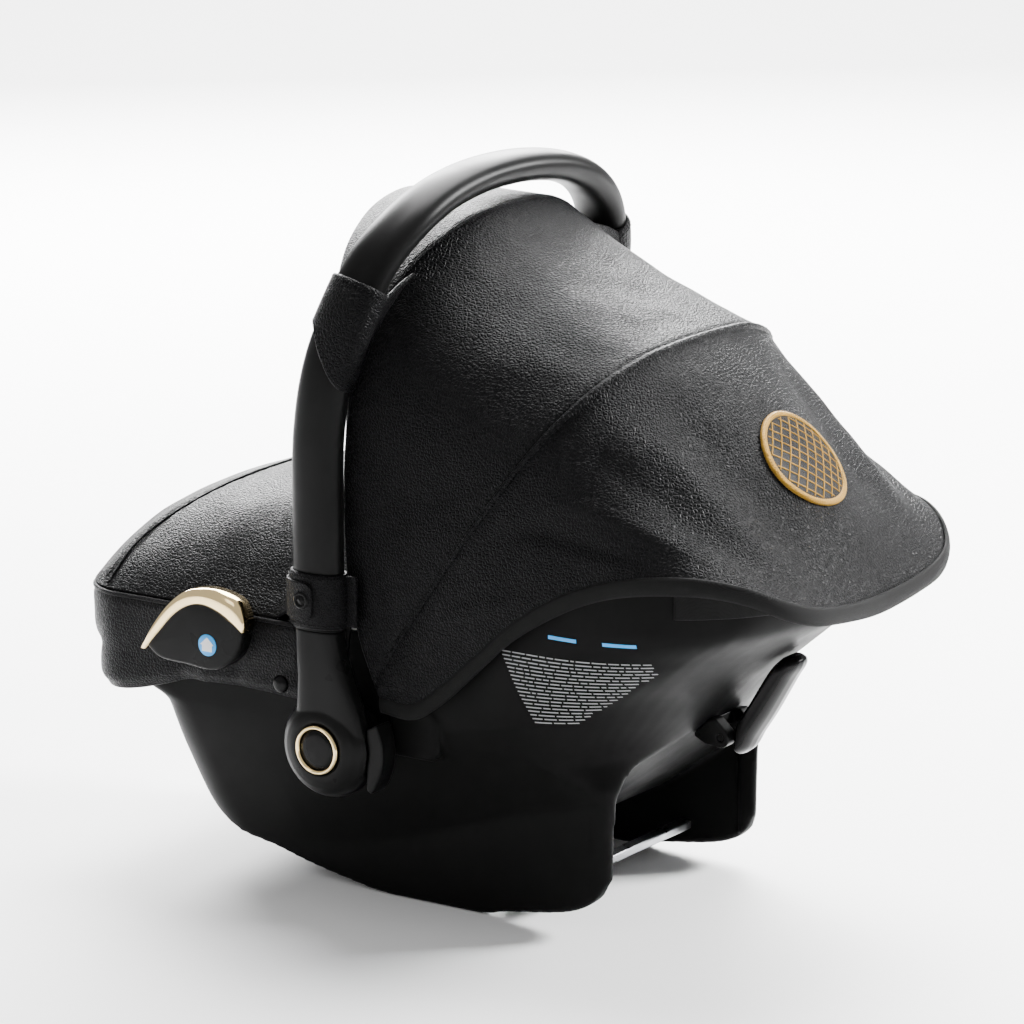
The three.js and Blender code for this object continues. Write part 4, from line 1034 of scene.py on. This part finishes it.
def band_point(k, v):
    """Point of the band's outer face: k runs round from one side (0) to the other (1)."""
    side = 1 if k <= 0.5 else -1
    u = 1 - abs(2 * k - 1)
    start = along(ring_part(200, 9, -107), u)[0]
    low, high = float(BAND_LOW(start[1])), 236.5
    z = low + (high - low) * v
    p = along(ring_part(max(z, 188), 9, -107), u)[0]
    p[2] = z
    p[0] *= side
    return p


def foot_band():
    columns, rows = 170, 26
    grid = np.array([[band_point(c / columns, 1 - r / rows) for c in range(columns + 1)]
                     for r in range(rows + 1)])
    centre = np.array((0, -150, 0))
    out = unit((grid - centre) * (1, 1, 0))
    v = np.linspace(1, 0, rows + 1)[:, None]
    height = (2.2 * np.sin(math.pi * np.clip(v, 0, 1)) ** 0.7 - 5.5 * np.exp(-(v / 0.07) ** 2)
              - 2.0 * np.exp(-((1 - v) / 0.05) ** 2))
    k = np.linspace(0, 1, columns + 1)[None, :]
    for mid, amount, width, slant in ((0.33, 2.6, 0.011, 0.10), (0.36, -2.8, 0.012, 0.08),
                                      (0.385, 2.2, 0.012, 0.05), (0.30, -1.8, 0.014, 0.10),
                                      (0.12, 1.3, 0.012, 0.03), (0.155, -1.2, 0.012, 0.03),
                                      (0.08, -1.1, 0.010, 0.02)):
        for kk in (k, 1 - k):
            reach = smoothstep((0.75 - v) * 2.2) if mid > 0.25 else 1.0
            height = height + 1.5 * amount * reach * np.exp(-((kk - mid + slant * (v - 0.3)) / width) ** 2)
    height = height + 0.8 * ripple(grid, 30, 2).reshape(grid.shape[:2])
    grid = grid + out * height[..., None]
    cloth = sheet_mesh("foot_band_look", grid, 2.4, LEATHER)
    piping = tube("foot_band_piping", grid[0] + out[0] * 0.6, 1.9, LEATHER_FLAT, 12)
    attach(cloth, "seat", "faux_leather", "foot_cover_band")
    attach(piping, "seat", "faux_leather")


foot_band()

APRON_CROWN = pchip([(-343, 262), (-334, 280), (-316, 294), (-290, 307), (-250, 321), (-200, 332),
                     (-150, 339), (-100, 339), (-72, 331)])
APRON_EDGE = pchip([(-130, 240), (-104, 257)])


APRON_START, APRON_LENGTH, APRON_HALF, APRON_CORNER = -341, 267, 181, 48


def apron_point(u, v):
    y = APRON_START + APRON_LENGTH * v
    inward = max(0.0, APRON_START + APRON_CORNER - y)
    half = APRON_HALF - (APRON_CORNER - math.sqrt(max(APRON_CORNER ** 2 - inward ** 2, 0)))
    crown, edge = float(APRON_CROWN(y)), float(APRON_EDGE(y))
    return np.array((u * half, y, edge + (crown - edge) * (1 - abs(u) ** 2.6)))


def apron_seam(u):
    """Row of the seam between the toe panel and the top panel of the apron."""
    return 0.13 + 0.24 * (1 - smoothstep((np.abs(u) - 0.05) / 0.8))


def apron():
    rows, columns = 110, 120
    us = np.sin(np.linspace(-math.pi / 2, math.pi / 2, columns + 1))
    vs = np.linspace(0, 1, rows + 1)
    grid = np.array([[apron_point(u, v) for u in us] for v in vs])
    uu, vv = np.meshgrid(us, vs)
    off = (vv - apron_seam(uu)) * APRON_LENGTH
    height = (-1.6 * np.exp(-(off / 3.5) ** 2) + 1.2 * np.exp(-((off + 9) / 8) ** 2)
              + 1.6 * ripple(grid, 75, 4).reshape(uu.shape) + 0.7 * ripple(grid, 30, 8).reshape(uu.shape)
              + 0.3 * np.exp(-np.abs(off) / 10) * np.sin(vv * 190))
    for y0, u0, amount, width in ((-160, 0.55, -2.4, 24), (-120, 0.35, 1.8, 26), (-215, 0.3, -1.6, 30)):
        height += amount * np.exp(-((grid[..., 1] - y0 - 60 * (np.abs(uu) - u0)) / width) ** 2)
    height *= smoothstep((1 - np.abs(uu)) * 12) * smoothstep(vv * 10) * smoothstep((1 - vv) * 10)
    grid = grid + grid_normals(grid) * height[..., None]
    cloth = sheet_mesh("foot_apron_look", grid, 3.2, LEATHER)
    seam = [apron_point(u, float(apron_seam(u))) for u in np.linspace(-0.985, 0.985, 140)]
    pipes = [tube("pipe", seam, 1.2, LEATHER_FLAT, 10, up=(0, 0.2, 1))]
    pipes.append(tube("pipe", [apron_point(u, 1.0) - (0, 0, 1.5) for u in us[4:-4]], 2.4, LEATHER_FLAT, 12,
                      up=(0, 1, 0.2)))
    piping = join("foot_apron_piping", pipes, LEATHER_FLAT)
    attach(cloth, "seat", "faux_leather", "foot_cover_apron")
    attach(piping, "seat", "faux_leather")


apron()


# ---- belt guides -------------------------------------------------------------------------
GUIDE = centripetal([(-247, 203), (-236, 220), (-219, 241), (-204, 251), (-188, 255),
                     (-170, 254), (-156, 249), (-149, 234), (-150, 216), (-158, 203),
                     (-178, 192), (-207, 193), (-235, 195), (-247, 203)], 10)[:-1]


def scaled(outline, inset):
    centre = outline.mean(0)
    return centre + (outline - centre) * (1 - inset / 36)


def guide(name):
    rows = [(187.5, 1.5), (188.2, 0.4), (190, 0), (199, 0), (201.4, 0.6), (202.6, 1.9), (203.0, 3.6)]
    rings = [np.c_[np.full(len(GUIDE), x), scaled(GUIDE, inset)] for x, inset in rows]
    return loft(name, rings, GLOSS_GUIDE)


both_sides(guide, "belt_guide", "seat", ["belt_guide"], "satin_plastic")


def guide_crest(name):
    outer = centripetal([(-252, 201), (-241, 221), (-223, 243), (-206, 255), (-188, 259.5),
                         (-168, 258.5), (-152, 252.5), (-146, 240), (-145.5, 232)], 14)
    inner = centripetal([(-247.5, 200.5), (-234, 216), (-216, 235), (-202, 243.5),
                         (-188, 246), (-172, 242), (-160, 235.5), (-152.5, 231),
                         (-147.5, 228)], 14)
    s = np.linspace(0, 1, 90)
    outer, inner = along(outer, s), along(inner, s)
    rings = []
    for o, i, k in zip(outer, inner, s):
        w = float(smoothstep(min(k, 1 - k) * 9))
        top = 204.2 + 1.2 * w
        mid = (o + i) / 2
        rings.append([(189, *o), (201.5, *o), (203.6, *(o * 0.85 + i * 0.15)), (top, *mid),
                      (203.8, *(i * 0.85 + o * 0.15)), (203.0, *i), (189, *i)])
    return loft(name, [np.array(r) for r in rings], GOLD)


both_sides(guide_crest, "guide_crest", "seat", ["belt_guide_trim"], "gold_chrome")


def guide_marker(name):
    disc = lathe_x(name, [(0, 202.9), (9, 202.9), (9.2, 203.3), (8.8, 203.6), (0, 203.65)], BLUE_INK,
                   -183, 213, 48)
    shape = [(-5, -5.2), (5, -5.2), (5, 0.3), (8 * 0.86, 0.3), (0, 6.6), (-8 * 0.86, 0.3), (-5, 0.3)]
    arrow = [np.array([(x, -183 + a, 213 + b) for a, b in shape]) for x in (203.6, 203.95)]
    top = loft("arrow", arrow, PALE_INK, smooth=False)
    bm = bmesh.new()
    bm.from_mesh(disc.data)
    count = len(bm.faces)
    bm.from_mesh(top.data)
    bm.faces.ensure_lookup_table()
    for f in bm.faces[count:]:
        f.material_index = 1
    bm.to_mesh(disc.data)
    bm.free()
    disc.data.materials.append(PALE_INK)
    bpy.data.objects.remove(top)
    return disc


both_sides(guide_marker, "guide_marker", "seat", [], "satin_plastic")


def cover_snap(name):
    return lathe_x(name, [(0, 185.8), (7.3, 185.8), (7.6, 186.8), (6.8, 188.4), (4.6, 189.6), (0, 190)],
                   GLOSS, -121, 186, 40)


both_sides(cover_snap, "cover_snap", "seat", ["foot_cover_snap"], "gloss_plastic")


# ---- rear lever, bracket and crossbar ----------------------------------------------------
def lever():
    outer = centripetal([(209.5, 141.5), (214, 146), (219, 156), (230.5, 174), (240.5, 191),
                         (250, 207), (257, 217.5), (258, 221.5), (254.5, 225.5)], 8)
    inner = centripetal([(209.5, 150), (211, 165), (222.5, 183), (232.5, 200), (243, 217),
                         (250, 225)], 8)
    s = np.linspace(0, 1, 46)
    outer, inner = along(outer, s), along(inner, s)
    rings = []
    for o, i, k in zip(outer, inner, s):
        half = 21 * (0.86 + 0.14 * math.sin(math.pi * min(k * 0.9 + 0.1, 1)))
        half *= math.sqrt(max(1 - max(0, (k - 0.86) / 0.17) ** 2, 0.05))
        d = o - i
        ring = [(half * c, *(i + d * (0.5 + 0.5 * n) + unit(d) * 5.5 * (1 - c * c) * (n > 0)))
                for c, n in zip(*squarish(turn(48), 0.45))]
        rings.append(np.array(ring))
    paddle = loft("release_lever_look", rings, GLOSS)
    knuckle = lathe_x("knuckle", [(0, -12), (7.4, -12), (8, -11.4), (8, 11.4), (7.4, 12), (0, 12)], None,
                      200, 153, 48)
    neck = prism_x("neck", [(200, 147), (211, 147), (211, 158), (200, 158)], -12, 12)
    boolean(paddle, knuckle, "UNION")
    boolean(paddle, neck, "UNION")
    remesh(paddle, 0.8, 5)
    paint(paddle.data, GLOSS)
    attach(paddle, "release_lever", "gloss_plastic", "release_lever")


def bevelled(node, width, segments, material, slot):
    """CAD part with its edges rounded, in flat shading."""
    ob = bevel(node_copy(node, f"{node}_look", material), width, segments)
    flat_shaded(ob)
    attach(ob, "seat", slot, node)


lever()
attach(softened("lever_bracket", 0.7, 5, SATIN)("lever_bracket_look"),
       "seat", "satin_plastic", "lever_bracket")
bevelled("crossbar", 1.2, 3, STEEL, "steel")


# ---- printed panel on the shell ----------------------------------------------------------
def on_shell(tree, y, z, lift):
    hit, normal = tree.ray_cast(at(260, y, z), Vector((-1, 0, 0)), 0.2)[:2]
    return None if hit is None else hit + normal * (lift / 1000)


def patch_on_shell(tree, bars, lift):
    """Mesh of small quads laid on the near side of the shell: each bar is (y, z, width, height)."""
    step = 3.0
    points, faces = [], []
    for y, z, width, height in bars:
        nu, nv = max(int(width / step), 1), max(int(height / step), 1)
        base = len(points)
        grid = [on_shell(tree, y + width * i / nu, z + height * j / nv, lift)
                for j in range(nv + 1) for i in range(nu + 1)]
        if any(p is None for p in grid):
            continue
        points += grid
        faces += [(base + j * (nu + 1) + i, base + j * (nu + 1) + i + 1, base + (j + 1) * (nu + 1) + i + 1,
                   base + (j + 1) * (nu + 1) + i) for j in range(nv) for i in range(nu)]
    return raw_mesh("print", points, faces)


def label():
    """Plain printed bars: no letters, no signs and no pictures."""
    tree = BVHTree.FromObject(SHELL_OB, bpy.context.evaluated_depsgraph_get())
    rng = np.random.default_rng(7)
    rows, pitch, top, gap = 19, 3.25, 243.5, 1.5
    lines = []
    for row in range(rows):
        z = top - pitch * row
        y = 89 + 1.35 * row
        right = 213 - max(0, row - 3) * 4.6
        while y < right:
            width = min(float(rng.uniform(3, 13)), right - y)
            if width < 2:
                break
            lines.append((y, z, width, 1.0))
            y += width + gap
    heading = [(134, 260, 26, 3.0), (182, 260, 26, 3.0)]
    for name, bars, ink, lift in (("label_lines", lines, GREY_INK, 0.32),
                                  ("label_bars", heading, BLUE_INK, 0.4)):
        attach(new_object(name, patch_on_shell(tree, bars, lift), ink), "seat", "shell_plastic")


label()


# ---- lining, cushions and harness --------------------------------------------------------
def plump(node, voxel, cap, slim):
    """Stuffed copy of a CAD pad: shrunk a little, then blown up by a short cloth simulation."""
    ob = remesh(node_copy(node, f"{node}_look", QUILT), voxel, 6)
    m = ob.modifiers.new("slim", "DISPLACE")
    m.strength, m.mid_level = -slim / 1000, 0
    bake(ob)
    rest = np.array([v.co for v in ob.data.vertices])
    cloth = ob.modifiers.new("cloth", "CLOTH")
    s = cloth.settings
    s.use_pressure, s.uniform_pressure_force = True, 4.0
    s.effector_weights.gravity = 0
    s.quality, s.mass = 4, 0.2
    s.tension_stiffness = s.compression_stiffness = 12
    first, last = 1, 16
    cloth.point_cache.frame_start, cloth.point_cache.frame_end = first, last
    scene = bpy.context.scene
    for n in range(first, last + 1):
        scene.frame_set(n)
    bake(ob)
    scene.frame_set(first)
    moved = np.array([v.co for v in ob.data.vertices]) - rest
    length = np.linalg.norm(moved, axis=1)[:, None] + 1e-12
    moved *= np.minimum(length, cap / 1000) / length
    ob.data.vertices.foreach_set("co", (rest + moved).ravel())
    return ob


def subdivided(ob):
    m = ob.modifiers.new("fine", "SUBSURF")
    m.levels = m.render_levels = 1
    return bake(ob)


BACK = math.radians(28)
BACK_UP = np.array((0, math.cos(BACK), math.sin(BACK)))
BACK_OUT = np.array((0, -math.sin(BACK), math.cos(BACK)))


def channel(ob, node, spacing, depth, width, limit):
    """Presses sewn channels into a pad of the backrest: parallel grooves across it."""
    co = np.array([v.co for v in ob.data.vertices]) * 1000
    c, n = np.mean(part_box(node), axis=0) * 1000, BACK_OUT
    t = (co - c) @ BACK_UP
    facing = np.array([v.normal for v in ob.data.vertices]) @ n
    k = np.round(t / spacing)
    groove = np.exp(-((t - k * spacing) / width) ** 2) * (np.abs(k) <= limit) * smoothstep(facing * 2)
    co -= np.outer(groove * depth, n)
    ob.data.vertices.foreach_set("co", (co / 1000).ravel())
    ob.data.update()


def lining():
    cover = node_copy("seat_cover", "seat_cover_look", KNIT)
    below = np.vstack([smooth_line(RIM_POINTS, 8) - (0, 0.2), [(404, -40), (-400, -40)]])
    outside = shell_loft("outside", 12)
    boolean(outside, shell_loft("inside", -3), "DIFFERENCE")
    boolean(outside, prism_x("below", below, -262, 262), "INTERSECT")
    boolean(cover, outside, "DIFFERENCE")
    remesh(cover, 2.6, 6)
    co = np.array([v.co for v in cover.data.vertices])
    normal = np.array([v.normal for v in cover.data.vertices])
    lift = 0.9 * ripple(co * 1000, 45, 6) + 0.4 * ripple(co * 1000, 16, 2)
    co += normal * (lift / 1000)[:, None]
    cover.data.vertices.foreach_set("co", co.ravel())
    attach(cover, "seat", "knit_fabric", "seat_cover")
    columns, drops = 110, np.array([-5, -4, -2, 1, 5, 10, 15, 19, 22, 24, 25])
    grid = []
    for d in drops:
        row = []
        for c in range(columns + 1):
            k = c / columns
            u = 1 - abs(2 * k - 1)
            y = along(ring_part(300, 2.2, 236, True), u)[0][1]
            z = float(RIM(y)) - d
            p = along(ring_part(z, 2.2 if d > -4.5 else 0.5, 236, True), u)[0]
            gather = 0.12 * math.sin(c * 1.9) * max(0.0, d / 25)
            n = np.array((p[0], p[1] - 40, 0)) / math.hypot(p[0], p[1] - 40)
            p = p + n * (gather + 0.6)
            row.append((p[0] * (1 if k <= 0.5 else -1), p[1], z))
        grid.append(row)
    skirt = sheet_mesh("seat_cover_skirt", grid, 1.4, BINDING)
    attach(skirt, "seat", "webbing")
    foam = remesh(node_copy("foam_liner", "foam_liner_look", FOAM), 4, 2)
    boolean(foam, shell_loft("foam room", -WALL - 2.5), "INTERSECT")
    attach(foam, "seat", "foam", "foam_liner")


lining()


def pads():
    shoulder = (3, 3, 1.0, (26, 1.8, 3.0, 1))
    for node, voxel, cap, slim, grooves in (("insert_cushion", 5, 6, 2.2, (46, 3.4, 4.5, 2)),
                                            ("head_pad", 4.5, 5, 2.0, None),
                                            ("crotch_pad", 2.5, 2, 0.6, None),
                                            ("shoulder_pad_left", *shoulder),
                                            ("shoulder_pad_right", *shoulder)):
        ob = subdivided(plump(node, voxel, cap, slim))
        if grooves:
            channel(ob, node, *grooves)
        attach(ob, "seat", "knit_fabric", node)


pads()


for strap_node in ("shoulder_strap_left", "shoulder_strap_right", "crotch_strap", "adjuster_strap"):
    bevelled(strap_node, 0.7, 2, WEBBING, "webbing")

for hard_node, body, voxel, material, slot_name in (
        ("buckle_housing", "seat", 0.8, GLOSS, "gloss_plastic"),
        ("buckle_button", "buckle_button", 0.5, RED, "red_plastic"),
        ("adjuster_housing", "seat", 0.7, SATIN, "satin_plastic"),
        ("lever_pin", "seat", 0.4, SATIN, "satin_plastic"),
        ("adjuster_button", "adjuster_button", 0.5, RED, "red_plastic"),
        ("buckle_tongue_left", "seat", 0.4, STEEL, "steel"),
        ("buckle_tongue_right", "seat", 0.4, STEEL, "steel")):
    attach(softened(hard_node, voxel, 4, material)(f"{hard_node}_look"), body, slot_name, hard_node)

# Parts that keep the shape the CAD gave them.
LOCK_PARTS = [f"{n}_{s}" for s in ("left", "right")
              for n in ("lock_plate", "handle_axle", "lock_gear", "lock_spring")]
for plain_node, material in ([(n, STEEL) for n in LOCK_PARTS]
                             + [(n, SATIN) for n in ("canopy_front_bow", "canopy_middle_bow")]):
    paint(frame["nodes"][plain_node].data, material)
